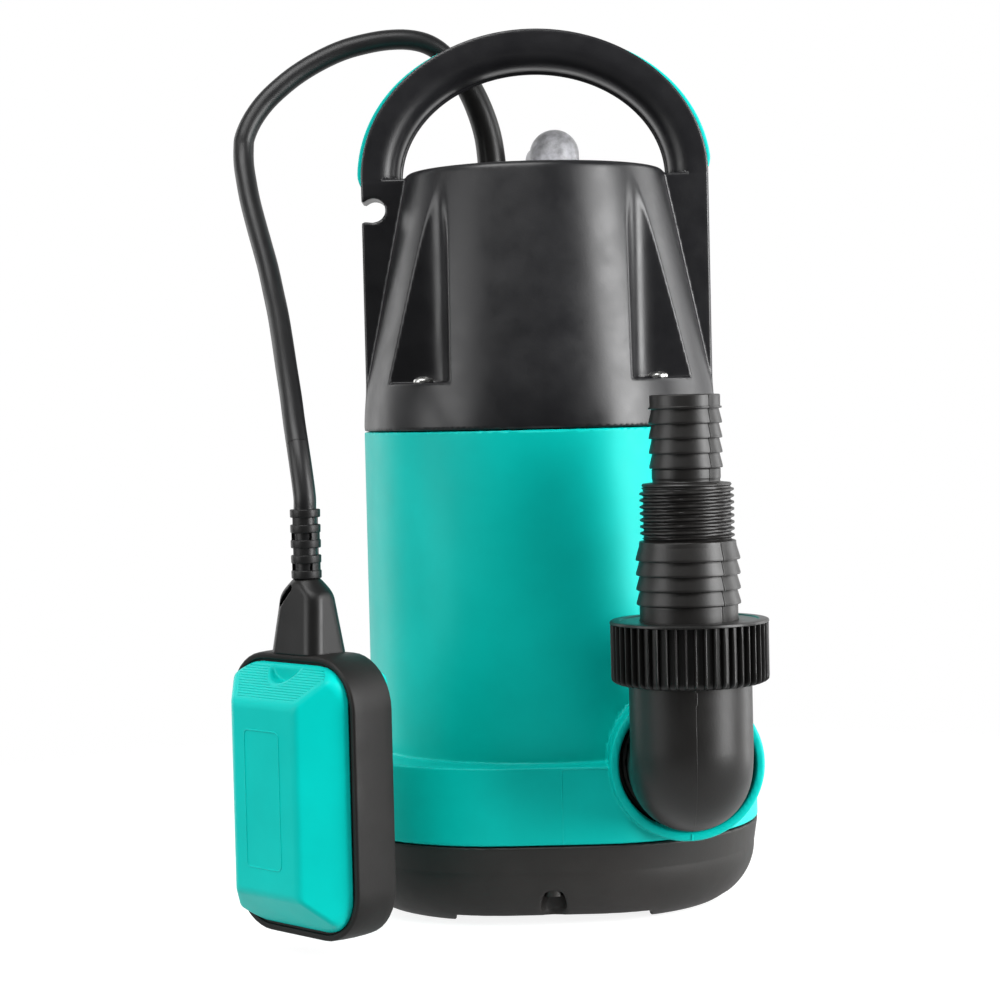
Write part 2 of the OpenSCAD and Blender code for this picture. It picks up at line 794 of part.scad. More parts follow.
module upper_bracket() {
    color(c_alloy) difference() {
        union() {
            rod(can_r + 0.5, upper_bracket_z, upper_top);
            around(tie_at, tie_turn) rod(tie_lug_r, upper_bracket_z, upper_top);
            rod(bearing_up_r + 3.5, bearing_up_z, upper_bracket_z + eps);
        }
        rod(bearing_up_r + fix_fit, bearing_up_z - eps, bearing_up_z + bearing_up_h);
        rod(shaft_r + 1, bearing_up_z, upper_top + eps);
        around(tie_at, tie_turn) rod(screw_r + 0.2, upper_bracket_z - eps, upper_top + eps);
    }
}

module tie_bolts() {
    color(c_steel) around(tie_at, tie_turn) {
        rod(screw_r, casing_top - tie_bite + 1, upper_top);
        translate([0, 0, upper_top]) cylinder(r = 3.6, h = 3, $fn = 6);
    }
}

module thermal_protector() {
    size = [16, 8, 2.8];
    color(c_soft_black) translate([-5, 36, coil_top]) cube(size);
}

module capacitor() {
    stud_r = 2.5;
    stud_h = 5;
    color(c_grey) translate([0, parts_y, 0]) {
        rod(capacitor_r, upper_top, upper_top + capacitor_h);
        rod(stud_r, upper_top + capacitor_h, upper_top + capacitor_h + stud_h);
    }
}

// A band around the capacitor with a strap down to a foot on the bracket
module capacitor_clamp() {
    clamp_t = 1.5;
    band_z = 14;
    band_h = 12;
    strap_w = 12;
    foot_l = 9;
    strap_y = capacitor_r + fix_fit + 0.2;
    color(c_steel) translate([0, parts_y, upper_top]) {
        tube(capacitor_r + clamp_t, capacitor_r + fix_fit, band_z, band_z + band_h);
        translate([-strap_w / 2, strap_y, 0]) cube([strap_w, clamp_t, band_z + band_h / 2]);
        translate([-strap_w / 2, strap_y, 0]) cube([strap_w, foot_l, clamp_t]);
    }
}

module terminal_block() {
    screw_hole_r = 2.6;
    color(c_ceramic) translate([0, -parts_y - 2, upper_top]) difference() {
        translate([-terminal_l / 2, -terminal_w / 2, 0]) cube([terminal_l, terminal_w, terminal_h]);
        for (i = [-1:1]) translate([i * terminal_l / 3, 0, terminal_h - 8])
            cylinder(r = screw_hole_r, h = terminal_h);
    }
}

// ---------------------------------------------------------------- cap and handle

module cap_seal() {
    color(c_soft_black) rotate_extrude()
        translate([body_r - wall / 2, cap_z + cap_seal_r]) circle(r = cap_seal_r);
}

module cap_outer() {
    edge = 1.5;
    rotate_extrude()
        polygon([[0, cap_z], [body_r, cap_z], [body_r, cone_z], [rim_r + 0.3, top_z - edge],
                 [rim_r - edge, top_z], [0, top_z]]);
}

module cap_inner() {
    rotate_extrude()
        polygon([[0, cap_z - eps], [body_r - cap_wall, cap_z - eps], [body_r - cap_wall, cone_z],
                 [rim_r - cap_wall, top_z - cap_wall], [0, top_z - cap_wall]]);
}

// The room of the four corner pockets, open to the outside. Its two walls stand at in from the axis.
module pocket_room(in, r, z0, z1) {
    for (turn = [0:90:270]) rotate([0, 0, turn]) {
        translate([in + r, in, z0]) cube([body_r, body_r, z1 - z0]);
        translate([in, in + r, z0]) cube([body_r, body_r, z1 - z0]);
        translate([in + r, in + r, 0]) rod(r, z0, z1);
    }
}

// Wings and arch, seen from the front
module arch_outline() {
    difference() {
        union() {
            translate([-arch_a, wing_foot]) square([2 * arch_a, arch_z - wing_foot]);
            translate([0, arch_z]) polygon(ellipse_points(arch_a, arch_b, 0, 180, 60));
        }
        translate([0, arch_z]) polygon(ellipse_points(inner_a, inner_b, 0, 180, 48));
        translate([-inner_a, arch_z - eps]) square([2 * inner_a, eps]);
    }
}

module grip_outline() {
    a0 = 3.5;
    a1 = 182.5;
    translate([0, arch_z])
        polygon(concat(ellipse_points(arch_a + grip_proud, arch_b + grip_top_proud, a0, a1, 60),
                       ellipse_points(arch_a + grip_proud - grip_t, arch_b + grip_top_proud - grip_t,
                                      a1, a0, 60)));
}

module top_cap() {
    color(c_black) difference() {
        union() {
            difference() {
                union() {
                    cap_outer();
                    plate(arch_depth) arch_outline();
                }
                cap_inner();
            }
            intersection() {
                cap_outer();
                pocket_room(pocket_in - pocket_wall, pocket_corner_r + pocket_wall, shelf_z - shelf_t, top_z);
            }
            intersection() {
                cap_outer();
                around(cap_screw_at, 45) rod(column_r, cap_z, shelf_z - eps);
            }
        }
        pocket_room(pocket_in, pocket_corner_r, shelf_z, top_z - 1.5);
        around(cap_screw_at, 45) rod(screw_r + 0.2, cap_z - eps, shelf_z + eps);
        translate([0, 0, cap_z]) tube(body_r - wall / 2 + cap_seal_r, body_r - wall / 2 - cap_seal_r,
                                      -eps, 2 * cap_seal_r);
        plate(grip_depth) grip_outline();
        translate([-notch_x, 0, notch_z]) rotate([90, 0, 0]) cylinder(r = notch_r, h = 4 * arch_depth,
                                                                    center = true);
        translate([-arch_a - eps, -arch_depth, notch_z - notch_r])
            cube([notch_r + eps, 2 * arch_depth, 2 * notch_r - 1.8]);
        translate([float_gland_x, float_gland_y, 0]) rod(5 + fix_fit, top_z - 6, top_z + eps);
        translate([mains_x, mains_y, 0]) rod(6 + fix_fit, top_z - 6, top_z + eps);
    }
}

module handle_grip() {
    color(c_teal) plate(grip_depth) grip_outline();
}

module cap_screws() {
    color(c_steel) around(cap_screw_at, 45) {
        difference() {
            rod(head_r, shelf_z, shelf_z + head_h);
            translate([0, 0, shelf_z + head_h / 2]) {
                translate([-0.5, -head_r / 2, 0]) cube([1, head_r, head_h]);
                translate([-head_r / 2, -0.5, 0]) cube([head_r, 1, head_h]);
            }
        }
        rod(screw_r, cap_z - 14, shelf_z);
    }
}

// ---------------------------------------------------------------- glands and cord

module mains_gland() {
    mid = top_z + mains_h - mains_r;
    color(c_soft_black) translate([mains_x, mains_y, 0]) difference() {
        union() {
            rod(mains_r + 0.8, top_z, top_z + 2);
            rod(mains_r, top_z, mid);
            translate([0, 0, mid]) sphere(r = mains_r);
            rod(6, top_z - cap_wall - 2, top_z + eps);
            rod(8, top_z - cap_wall - 2, top_z - cap_wall);
            translate([0, 0, mid]) rotate([0, 0, mains_turn]) rotate([-90, 0, 0])
                cylinder(r1 = mains_r * 0.75, r2 = mains_r * 0.55, h = mains_mouth);
        }
        translate([0, 0, mid]) rotate([0, 0, mains_turn]) rotate([-90, 0, 0])
            cylinder(r = cord_r, h = mains_mouth + eps);
    }
}

module float_cord_gland() {
    color(c_soft_black) {
        translate([float_gland_x, float_gland_y, 0]) {
            rod(sleeve_r + 2.6, top_z, sleeve_route[0][2]);
            rod(5, top_z - cap_wall - 2, top_z + eps);
            rod(7.5, top_z - cap_wall - 2, top_z - cap_wall);
        }
        sweep(sleeve_route, sleeve_r, sleeve_end_r);
    }
}

module float_cord_upper() {
    color(c_black) sweep(upper_route, cord_r, cord_r);
}

module float_cord_lower() {
    color(c_black) {
        sweep(lower_route, cord_r, cord_r);
        translate(swing_pivot) sphere(r = cord_end_r, $fn = 32);
        translate(tilt_pivot) sphere(r = cord_end_r, $fn = 32);
    }
}

// ---------------------------------------------------------------- float

module float_cord_tail() {
    color(c_black) at_float() rod(cord_r, rim_top - 8, 0);
}

module strain_relief() {
    rings = 4;
    pitch = relief_h / rings;
    rib = 3;
    color(c_soft_black) at_float() difference() {
        union() {
            rod(relief_r - 0.9, neck_top, 0);
            for (i = [0:rings - 1]) rod(relief_r, neck_top + i * pitch, neck_top + i * pitch + rib);
        }
        rod(cord_r + fix_fit, neck_top - eps, eps);
    }
}

// One flat slice of the neck piece
module neck_slice(w, d, z) {
    r = 4;
    translate([0, 0, z]) linear_extrude(height = 0.2) hull()
        for (sx = [-1, 1], sy = [-1, 1]) translate([sx * (w / 2 - r), sy * (d / 2 - r)])
            circle(r = r, $fn = 24);
}

module float_neck() {
    shoulder = rim_top + neck_h * 0.46;
    shoulder_w = neck_w - 4;
    color(c_soft_black) at_float() difference() {
        union() {
            hull() {
                neck_slice(neck_w, rim_t + 2, rim_top);
                neck_slice(shoulder_w, rim_t, shoulder);
            }
            hull() {
                neck_slice(shoulder_w, rim_t, shoulder);
                translate([0, 0, neck_top - 0.2]) cylinder(r = relief_r + 0.2, h = 0.2, $fn = 24);
            }
        }
        rod(cord_r + fix_fit, rim_top - eps, neck_top + eps);
    }
}

module float_rim() {
    lip = 1;
    color(c_black) at_float() difference() {
        float_slab(float_w, float_h, float_corner_r, -rim_t / 2 - lip, rim_t / 2 + lip);
        float_slab(float_w - 2 * rim_lip, float_h - 2 * rim_lip, float_corner_r - rim_lip,
                   rim_t / 2, rim_t / 2 + lip + eps);
        float_slab(float_w - 2 * rim_lip, float_h - 2 * rim_lip, float_corner_r - rim_lip,
                   -rim_t / 2 - lip - eps, -rim_t / 2);
        float_slab(float_w - 2 * rim_lip - 4, float_h - 2 * rim_lip - 4, float_corner_r - rim_lip - 2,
                   -rim_t, rim_t);
        rod(cord_r + fix_fit, float_mid, rim_top + eps);
    }
}

// One half of the float: side is 1 for the back and -1 for the front
module shell(side, t) {
    y0 = side * rim_t / 2;
    y1 = side * (rim_t / 2 + shell_h - t);
    skin = 0.2;
    hull() {
        float_slab(float_w - 2 * rim_lip - 0.4 - 2 * t, float_h - 2 * rim_lip - 0.4 - 2 * t,
                   float_corner_r - rim_lip - t / 2, min(y0, y0 + side * (skin + 1)),
                   max(y0, y0 + side * (skin + 1)), $fn = 48);
        float_slab(panel_w - t, panel_h - t, panel_corner_r, min(y1, y1 - side * skin),
                   max(y1, y1 - side * skin), $fn = 48);
    }
}

module float_shell(side) {
    color(c_teal) at_float() difference() {
        shell(side, 0);
        translate([0, -side * eps / 2, 0]) shell(side, shell_wall);
    }
}

module float_front_shell() {
    float_shell(-1);
}

module float_back_shell() {
    float_shell(1);
}

module ball_track() {
    r_in = ball_r + run_fit;
    bar_w = float_w - 2 * rim_lip - 4 - 2 * gap - 0.4;
    color(c_grey) at_float() difference() {
        union() {
            rod(r_in + track_wall, track_z - track_wall, track_top);
            translate([-bar_w / 2, -2, track_z - track_wall]) cube([bar_w, 4, 3]);
        }
        rod(r_in, track_z, track_top + eps);
    }
}

module steel_ball() {
    color(c_steel) at_float() translate([0, 0, track_z + ball_r + run_fit]) sphere(r = ball_r);
}

module micro_switch() {
    color(c_soft_black) at_float() union() {
        translate([-switch_l / 2, -switch_w / 2, track_top + switch_leg_h - 1])
            cube([switch_l, switch_w, switch_h]);
        translate([lever_end + gap, -switch_w / 2, track_top])
            cube([switch_leg_l, switch_w, switch_leg_h]);
    }
}

module switch_lever() {
    size = [14, 6, 0.8];
    color(c_steel) at_float() translate([lever_end - size[0], -size[1] / 2, track_top + gap]) cube(size);
}

module float_ballast() {
    color(c_iron) at_float() translate([-ballast_l / 2, -ballast_w / 2, ballast_z])
        cube([ballast_l, ballast_w, ballast_h]);
}

// ---------------------------------------------------------------- elbow and hose connector

// A quarter bend from the outlet's axis up to the hose axis, tighter than the pipe is wide
module bend(r) {
    translate([outlet_x, hose_y + bend_r, outlet_z + bend_r]) rotate([0, 90, 180])
        rotate_extrude(angle = 90) intersection() {
            translate([bend_r, 0]) circle(r = r);
            translate([0, -2 * r]) square([4 * r, 4 * r]);
        }
}

module outlet_elbow() {
    mouth = outlet_reach - socket_recess;
    leg_end = mouth - socket_depth + gap;
    bend_start = -hose_y - bend_r;
    ring_at = mouth - socket_depth / 2;
    color(c_soft_black) difference() {
        union() {
            at_outlet() {
                rod(pipe_r, leg_end, bend_start);
                rod(collar_r, mouth + gap, mouth + gap + 3);
            }
            bend(pipe_r);
            at_hose() {
                rod(pipe_r, outlet_z + bend_r, riser_top);
                rod(elbow_thread_r, nut_z + 2, riser_top - 1.5);
            }
        }
        at_outlet() {
            rod(pipe_bore_r, leg_end - eps, bend_start);
            tube(pipe_r + eps, pipe_r - ring_groove, ring_at - ring_groove / 2 - 0.2,
                 ring_at + ring_groove / 2 + 0.2);
        }
        bend(pipe_bore_r);
        at_hose() rod(pipe_bore_r, outlet_z + bend_r, riser_top + eps);
    }
}

module elbow_seal() {
    ring_at = outlet_reach - socket_recess - socket_depth / 2;
    color(c_black) at_outlet() translate([0, 0, ring_at]) rotate_extrude()
        translate([pipe_r - ring_groove / 2, 0]) circle(r = ring_groove / 2);
}

// Outline of the ribbed nut
function rib_points(r, n, depth) =
    [for (i = [0:n - 1], k = [0:3]) let (a = (i + [0.05, 0.15, 0.5, 0.9][k]) * 360 / n,
                                         q = (k == 1 || k == 2) ? r : r - depth)
        [q * cos(a), q * sin(a)]];

module union_nut() {
    bore = elbow_thread_r + run_fit;
    chamfer_h = 1.4;
    rim_h = 1.2;
    rib_r = nut_r - 0.15;
    rib_depth = 1.2;
    color(c_black) at_hose() difference() {
        union() {
            translate([0, 0, nut_z + chamfer_h]) linear_extrude(height = nut_h - chamfer_h - rim_h)
                polygon(rib_points(rib_r, nut_ribs, rib_depth));
            translate([0, 0, nut_z])
                cylinder(r1 = nut_r - 3, r2 = rib_r - rib_depth - 0.2, h = chamfer_h);
            rod(nut_r, nut_top - rim_h, nut_top);
        }
        rod(bore, nut_z - eps, nut_top - nut_lip_t);
        rod(neck_r + 0.15, nut_z, nut_top + eps);
    }
}

module connector_washer() {
    color(c_soft_black) at_hose() tube(pipe_r, pipe_bore_r, riser_top, flange_z);
}

// A ring of a hose barb: widest at its foot, narrow at its top
function barb_points(z0, count, r, root) =
    [for (i = [0:count - 1]) each [[r, z0 + i * barb_pitch], [r, z0 + i * barb_pitch + 0.5],
                                   [root, z0 + (i + 1) * barb_pitch]]];
function thread_points(z0, count, r, root) =
    [for (i = [0:count - 1]) each [[root, z0 + (i + 0.1) * thread_pitch], [r, z0 + (i + 0.4) * thread_pitch],
                                   [r, z0 + (i + 0.6) * thread_pitch],
                                   [root, z0 + (i + 0.9) * thread_pitch]]];

module hose_connector() {
    bore_step_z = thread_z - 4;
    big_bore = thread_r - thread_depth - 2.4;
    color(c_black) at_hose() rotate_extrude() polygon(concat(
        [[pipe_bore_r - 1, flange_z], [pipe_r + 0.6, flange_z], [pipe_r + 0.6, flange_top],
         [neck_r, flange_top], [neck_r, barb_big_z]],
        barb_points(barb_big_z, barb_big_rings, barb_big_r, barb_big_root),
        [[thread_r - thread_depth, thread_z]],
        thread_points(thread_z, thread_turns, thread_r, thread_r - thread_depth),
        [[thread_r - thread_depth, thread_top], [barb_small_root - 0.3, thread_top],
         [barb_small_root - 0.3, thread_top + 2], [barb_small_root + 0.3, thread_top + 2.5],
         [barb_small_root + 0.3, barb_small_z]],
        barb_points(barb_small_z, barb_small_rings - 1, barb_small_r, barb_small_root),
        [[barb_small_r, barb_small_top], [hose_end_r, barb_small_top + 0.5], [hose_end_r, hose_top - 0.4],
         [hose_end_r - 0.4, hose_top], [hose_bore_r, hose_top], [hose_bore_r, bore_step_z + 4],
         [big_bore, bore_step_z], [big_bore, flange_z + 8], [pipe_bore_r - 1, flange_z + 4]]));
}

// ---------------------------------------------------------------- drawing

base_strainer();
base_screws();
pump_housing();
suction_plate();
volute_casing();
impeller();
impeller_nut();
shaft();
seal_seat();
seal_head();
seal_spring();
lip_seal();
lower_bracket();
lower_bearing_outer();
lower_bearing_inner();
motor_can();
stator_core();
stator_windings();
rotor_core();
rotor_cage();
upper_bearing_outer();
upper_bearing_inner();
upper_bracket();
tie_bolts();
thermal_protector();
capacitor();
capacitor_clamp();
terminal_block();
cap_seal();
top_cap();
handle_grip();
cap_screws();
mains_gland();
float_cord_gland();
float_cord_upper();
float_cord_lower();
float_cord_tail();
strain_relief();
float_neck();
float_rim();
float_front_shell();
float_back_shell();
ball_track();
steel_ball();
micro_switch();
switch_lever();
float_ballast();
outlet_elbow();
elbow_seal();
union_nut();
connector_washer();
hose_connector();
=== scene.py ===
import json
import math

import bpy
import numpy as np
from mathutils import Matrix, Vector


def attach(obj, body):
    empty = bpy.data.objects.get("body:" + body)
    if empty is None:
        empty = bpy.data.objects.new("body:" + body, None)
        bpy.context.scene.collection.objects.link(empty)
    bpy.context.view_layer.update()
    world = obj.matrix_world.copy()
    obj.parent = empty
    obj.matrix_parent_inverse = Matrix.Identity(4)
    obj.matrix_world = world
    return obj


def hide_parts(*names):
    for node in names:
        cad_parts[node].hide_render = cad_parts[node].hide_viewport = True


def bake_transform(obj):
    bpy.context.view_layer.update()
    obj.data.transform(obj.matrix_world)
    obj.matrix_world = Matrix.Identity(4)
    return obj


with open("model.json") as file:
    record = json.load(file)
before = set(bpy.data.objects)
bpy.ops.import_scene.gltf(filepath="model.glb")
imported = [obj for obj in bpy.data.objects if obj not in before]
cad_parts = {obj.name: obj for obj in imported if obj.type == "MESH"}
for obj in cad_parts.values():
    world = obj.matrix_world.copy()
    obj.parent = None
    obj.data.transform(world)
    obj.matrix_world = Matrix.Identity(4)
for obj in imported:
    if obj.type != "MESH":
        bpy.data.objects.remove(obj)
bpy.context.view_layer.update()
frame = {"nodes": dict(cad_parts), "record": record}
MM = 0.001
TAU = 2 * math.pi


def new_object(name, data):
    ob = bpy.data.objects.new(name, data)
    bpy.context.scene.collection.objects.link(ob)
    return ob


# ---------------------------------------------------------------- camera

CAMERA_AT = Vector((-15.5, -942.0, 190.0))
LENS, SENSOR_WIDTH = 86.4, 36.0
PITCH = math.radians(2.195)
ROLL = math.radians(1.35)
YAW = math.radians(0.05)


def make_camera():
    """The photo's camera, which looks along +Y and slightly down."""
    data = bpy.data.cameras.new("camera")
    data.lens, data.sensor_width = LENS, SENSOR_WIDTH
    data.clip_start, data.clip_end = 0.05, 50
    forward = Vector((-math.sin(YAW), math.cos(PITCH), -math.sin(PITCH))).normalized()
    side = forward.cross(Vector((0, 0, 1))).normalized()
    up = side.cross(forward)
    right = math.cos(ROLL) * side - math.sin(ROLL) * up
    top = math.cos(ROLL) * up + math.sin(ROLL) * side
    place = Matrix((right, top, -forward)).transposed().to_4x4()
    place.translation = CAMERA_AT * MM
    ob = new_object("camera", data)
    ob.matrix_world = place
    bpy.context.scene.camera = ob


make_camera()
bpy.context.scene.view_settings.view_transform = "Standard"

# ---------------------------------------------------------------- materials


class Nodes:
    """A material's node tree, with short calls to add to it."""

    def __init__(self, name):
        self.mat = bpy.data.materials.new(name)
        self.mat.use_nodes = True
        self.tree = self.mat.node_tree
        self.shader = next(n for n in self.tree.nodes if n.type == "BSDF_PRINCIPLED")
        self.place = self.tree.nodes.new("ShaderNodeTexCoord").outputs["Object"]

    def add(self, kind, **values):
        node = self.tree.nodes.new("ShaderNode" + kind)
        for key, value in values.items():
            setattr(node, key, value)
        return node

    def link(self, a, b):
        self.tree.links.new(a, b)

    def feed(self, source, name):
        """Drive one of the shader's inputs."""
        self.link(source, self.shader.inputs[name])

    def noise(self, scale, detail=2.0, rough=0.5, stretch=None):
        node = self.add("TexNoise")
        node.inputs["Scale"].default_value = scale
        node.inputs["Detail"].default_value = detail
        node.inputs["Roughness"].default_value = rough
        source = self.place
        if stretch:
            mapping = self.add("Mapping")
            mapping.inputs["Scale"].default_value = stretch
            self.link(source, mapping.inputs["Vector"])
            source = mapping.outputs["Vector"]
        self.link(source, node.inputs["Vector"])
        return node.outputs["Fac"]

    def ramp(self, source, low, high, a, b):
        node = self.add("MapRange")
        for key, value in zip(("From Min", "From Max", "To Min", "To Max"), (low, high, a, b)):
            node.inputs[key].default_value = value
        self.link(source, node.inputs["Value"])
        return node.outputs["Result"]

    def colour(self, source, low, high):
        node = self.add("Mix", data_type="RGBA")
        node.inputs[6].default_value = (*low, 1)
        node.inputs[7].default_value = (*high, 1)
        self.link(source, node.inputs[0])
        return node.outputs[2]

    def bump(self, height, distance, base=None):
        node = self.add("Bump")
        node.inputs["Distance"].default_value = distance
        node.inputs["Strength"].default_value = 1.0
        self.link(height, node.inputs["Height"])
        if base is not None:
            self.link(base, node.inputs["Normal"])
        return node.outputs["Normal"]

    def set(self, **values):
        for key, value in values.items():
            self.shader.inputs[key.replace("_", " ")].default_value = value


def plastic(name, dark, light, rough, grain=1400, depth=0.00002, spec=0.5, cloudy=38, tint=None):
    """Moulded plastic: fine grain, faint flow waves, smudges and a slightly uneven colour."""
    n = Nodes(name)
    cloud = n.noise(cloudy, 4, 0.6)
    n.feed(n.colour(n.ramp(cloud, 0.3, 0.7, 0, 1), dark, light), "Base Color")
    smudge = n.noise(90, 5, 0.65)
    n.feed(n.ramp(smudge, 0.25, 0.75, *rough), "Roughness")
    waves = n.bump(n.noise(26, 1, 0.4), 0.00025)
    n.feed(n.bump(n.noise(grain, 2, 0.55), depth, waves), "Normal")
    n.set(Specular_IOR_Level=spec)
    if tint:
        n.set(Specular_Tint=tint)
    return n.mat


def metal(name, dark, light, rough, stretch=(1, 1, 12)):
    """Drawn or turned metal with fine lines and some unevenness."""
    n = Nodes(name)
    lines = n.noise(900, 3, 0.6, stretch)
    n.feed(n.colour(n.noise(160, 3), dark, light), "Base Color")
    n.feed(n.ramp(lines, 0.2, 0.8, *rough), "Roughness")
    n.feed(n.bump(lines, 0.00001), "Normal")
    n.set(Metallic=1.0)
    return n.mat


# Colours are the darker and the lighter one of the cloud, then the smoothest and roughest spot.
TEAL_SHINE = (0.45, 1.0, 0.97, 1.0)
EVEN = (1, 1, 1)
TEAL = plastic("teal_plastic", (0.0, 0.44, 0.392), (0.0, 0.485, 0.435), (0.38, 0.46),
               1500, 0.000012, 0.24, tint=TEAL_SHINE)
TEAL_FLOAT = plastic("teal_float", (0.0, 0.49, 0.44), (0.0, 0.535, 0.48), (0.36, 0.44),
                     1500, 0.00001, 0.18, tint=TEAL_SHINE)
BLACK_CAP = plastic("black_cap", (0.005, 0.005, 0.006), (0.009, 0.009, 0.0103), (0.29, 0.42),
                    1300, 0.000018, 0.45)
BLACK_BASE = plastic("black_base", (0.011, 0.0098, 0.009), (0.018, 0.016, 0.0148), (0.44, 0.56),
                     1500, 0.00003, 0.35)
BLACK_PIPE = plastic("black_pipe", (0.0045, 0.0041, 0.0038), (0.0085, 0.0078, 0.0072),
                     (0.36, 0.46), 1200, 0.000025, 0.42)
BLACK_NUT = plastic("black_nut", (0.003, 0.003, 0.0028), (0.006, 0.0058, 0.0055), (0.34, 0.44),
                    1300, 0.00002, 0.4)
BLACK_SATIN = plastic("black_satin", (0.0035, 0.0035, 0.0035), (0.007, 0.0068, 0.0066),
                      (0.34, 0.46), spec=0.32)
RUBBER = plastic("rubber", (0.004, 0.004, 0.0042), (0.007, 0.0068, 0.0068), (0.40, 0.52),
                 1100, 0.00002, 0.32)
RUBBER_RIM = plastic("rubber_rim", (0.007, 0.0065, 0.0062), (0.012, 0.0112, 0.0106),
                     (0.42, 0.56), 1200, 0.00003, 0.22)
SHEATH = plastic("sheath", (0.0045, 0.0045, 0.005), (0.008, 0.008, 0.0085), (0.36, 0.46),
                 900, 0.00001, 0.38)
# The mains gland is black plastic: its pale mottled grey is painted reflection of the lights
# behind it.
GLAND_PAINTED_SHEEN = plastic("gland", (0.26, 0.26, 0.27), (0.62, 0.62, 0.66), (0.3, 0.48),
                700, 0.00005, cloudy=240)
ZINC = metal("zinc", (0.55, 0.55, 0.53), (0.7, 0.7, 0.68), (0.2, 0.38), EVEN)
# The base's screw heads get a near-black metal: painted shade for the dark gap they sit in.
SCREW_SHADED = metal("screw_painted_shade", (0.03, 0.03, 0.03), (0.06, 0.058, 0.055), (0.4, 0.6), EVEN)

SLOT_MATERIAL = {
    "black_plastic": BLACK_CAP,
    "satin_black_plastic": BLACK_SATIN,
    "teal_plastic": TEAL,
    "black_rubber": RUBBER,
    "cord_rubber": SHEATH,
    "zinc_steel": ZINC,
    "ground_steel": metal("ground_steel", (0.6, 0.6, 0.62), (0.72, 0.72, 0.74), (0.18, 0.34)),
    "sheet_steel": metal("sheet_steel", (0.5, 0.5, 0.52), (0.62, 0.62, 0.64), (0.28, 0.42)),
    "cast_alloy": metal("cast_alloy", (0.5, 0.51, 0.52), (0.62, 0.63, 0.64), (0.42, 0.6), EVEN),
    "lamination_iron": metal("lamination", (0.2, 0.2, 0.21), (0.3, 0.3, 0.31), (0.45, 0.6),
                             (1, 1, 30)),
    "copper_wire": metal("copper", (0.5, 0.2, 0.08), (0.62, 0.28, 0.12), (0.25, 0.4), (1, 1, 6)),
    "ceramic": plastic("ceramic", (0.62, 0.6, 0.54), (0.7, 0.68, 0.62), (0.2, 0.3)),
    "seal_carbon": plastic("seal_carbon", (0.01, 0.01, 0.01), (0.02, 0.02, 0.02), (0.4, 0.55)),
    "grey_plastic": plastic("grey_plastic", (0.16, 0.165, 0.17), (0.2, 0.205, 0.21), (0.4, 0.5)),
    "cream_plastic": plastic("cream_plastic", (0.5, 0.44, 0.34), (0.56, 0.5, 0.4), (0.4, 0.5)),
}
for row in frame["record"]["subparts"]:
    materials = frame["nodes"][row["node"]].data.materials
    materials.clear()
    # The base's screws take the darkened metal, which is painted shade.
    dark = row["node"] == "base_screws"
    materials.append(SCREW_SHADED if dark else SLOT_MATERIAL[row["material_slot"]])

# ---------------------------------------------------------------- making meshes


def put(name, verts, faces, material, body, replaces, normals=None, crease=35.0):
    """A piece from vertices in millimetres. It is smooth, apart from edges sharper than crease."""
    mesh = bpy.data.meshes.new(name)
    mesh.from_pydata((np.asarray(verts, float) * MM).tolist(), [],
                     [list(map(int, f)) for f in faces])
    mesh.shade_smooth()
    if normals is not None:
        mesh.normals_split_custom_set_from_vertices(np.asarray(normals, float).tolist())
    else:
        mesh.set_sharp_from_angle(angle=math.radians(crease))
    ob = new_object(name, mesh)
    mesh.materials.append(material)
    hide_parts(*replaces)
    if body:
        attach(ob, body)
    return ob


def joined(parts):
    """Several (vertices, faces) as one."""
    verts, faces, n = [], [], 0
    for v, f in parts:
        verts.append(np.asarray(v, float))
        faces += [[i + n for i in face] for face in f]
        n += len(v)
    return np.concatenate(verts), faces


def moved(part, at=(0, 0, 0), turn=None):
    v = np.asarray(part[0], float)
    if turn is not None:
        v = v @ turn.T
    return v + np.array(at, float), part[1]


def about_z(degrees):
    return np.array(Matrix.Rotation(math.radians(degrees), 3, "Z"))


def circle(r, z, angles):
    """Points around the Z axis. r is a number or one for each angle."""
    return np.stack((r * np.cos(angles), r * np.sin(angles), np.full(len(angles), z)), 1)


def rings_mesh(rings, close=False, caps=(True, True)):
    """Quads between rings of equal length. close joins the last ring to the first."""
    rings = [np.asarray(r, float) for r in rings]
    m, n = len(rings), len(rings[0])
    faces = []
    for i in range(m if close else m - 1):
        a, b = i * n, ((i + 1) % m) * n
        faces += [[a + k, a + (k + 1) % n, b + (k + 1) % n, b + k] for k in range(n)]
    if not close and caps[0]:
        faces.append(list(range(n))[::-1])
    if not close and caps[1]:
        faces.append([(m - 1) * n + k for k in range(n)])
    return np.concatenate(rings), faces


def turned(profile, count):
    """A solid of revolution from a line of (radius, z) that runs upwards on its outside."""
    angles = np.linspace(0, TAU, count, endpoint=False)
    return rings_mesh([circle(r, z, angles) for r, z in profile])


def rounded(points, steps):
    """A 2D line whose corners (x, y, radius) are rounded with arcs."""
    out, n = [], len(points)
    for i, point in enumerate(points):
        p, r = np.array(point[:2], float), (point[2] if len(point) > 2 else 0)
        if r <= 0 or i in (0, n - 1):
            out.append(p)
            continue
        u, v = np.array(points[i - 1][:2]) - p, np.array(points[i + 1][:2]) - p
        lu, lv = np.linalg.norm(u), np.linalg.norm(v)
        u, v = u / lu, v / lv
        half = math.acos(max(-1, min(1, float(u @ v)))) / 2
        if half > math.radians(89) or half < 0.01:
            out.append(p)
            continue
        cut = min(r / math.tan(half), 0.48 * lu, 0.48 * lv)
        r = cut * math.tan(half)
        mid = p + (u + v) / np.linalg.norm(u + v) * (r / math.sin(half))
        a, b = p + u * cut - mid, p + v * cut - mid
        turn = math.atan2(a[0] * b[1] - a[1] * b[0], float(a @ b))
        for k in range(steps + 1):
            t = turn * k / steps
            c, s = math.cos(t), math.sin(t)
            out.append(mid + np.array((c * a[0] - s * a[1], s * a[0] + c * a[1])))
    return np.array(out)


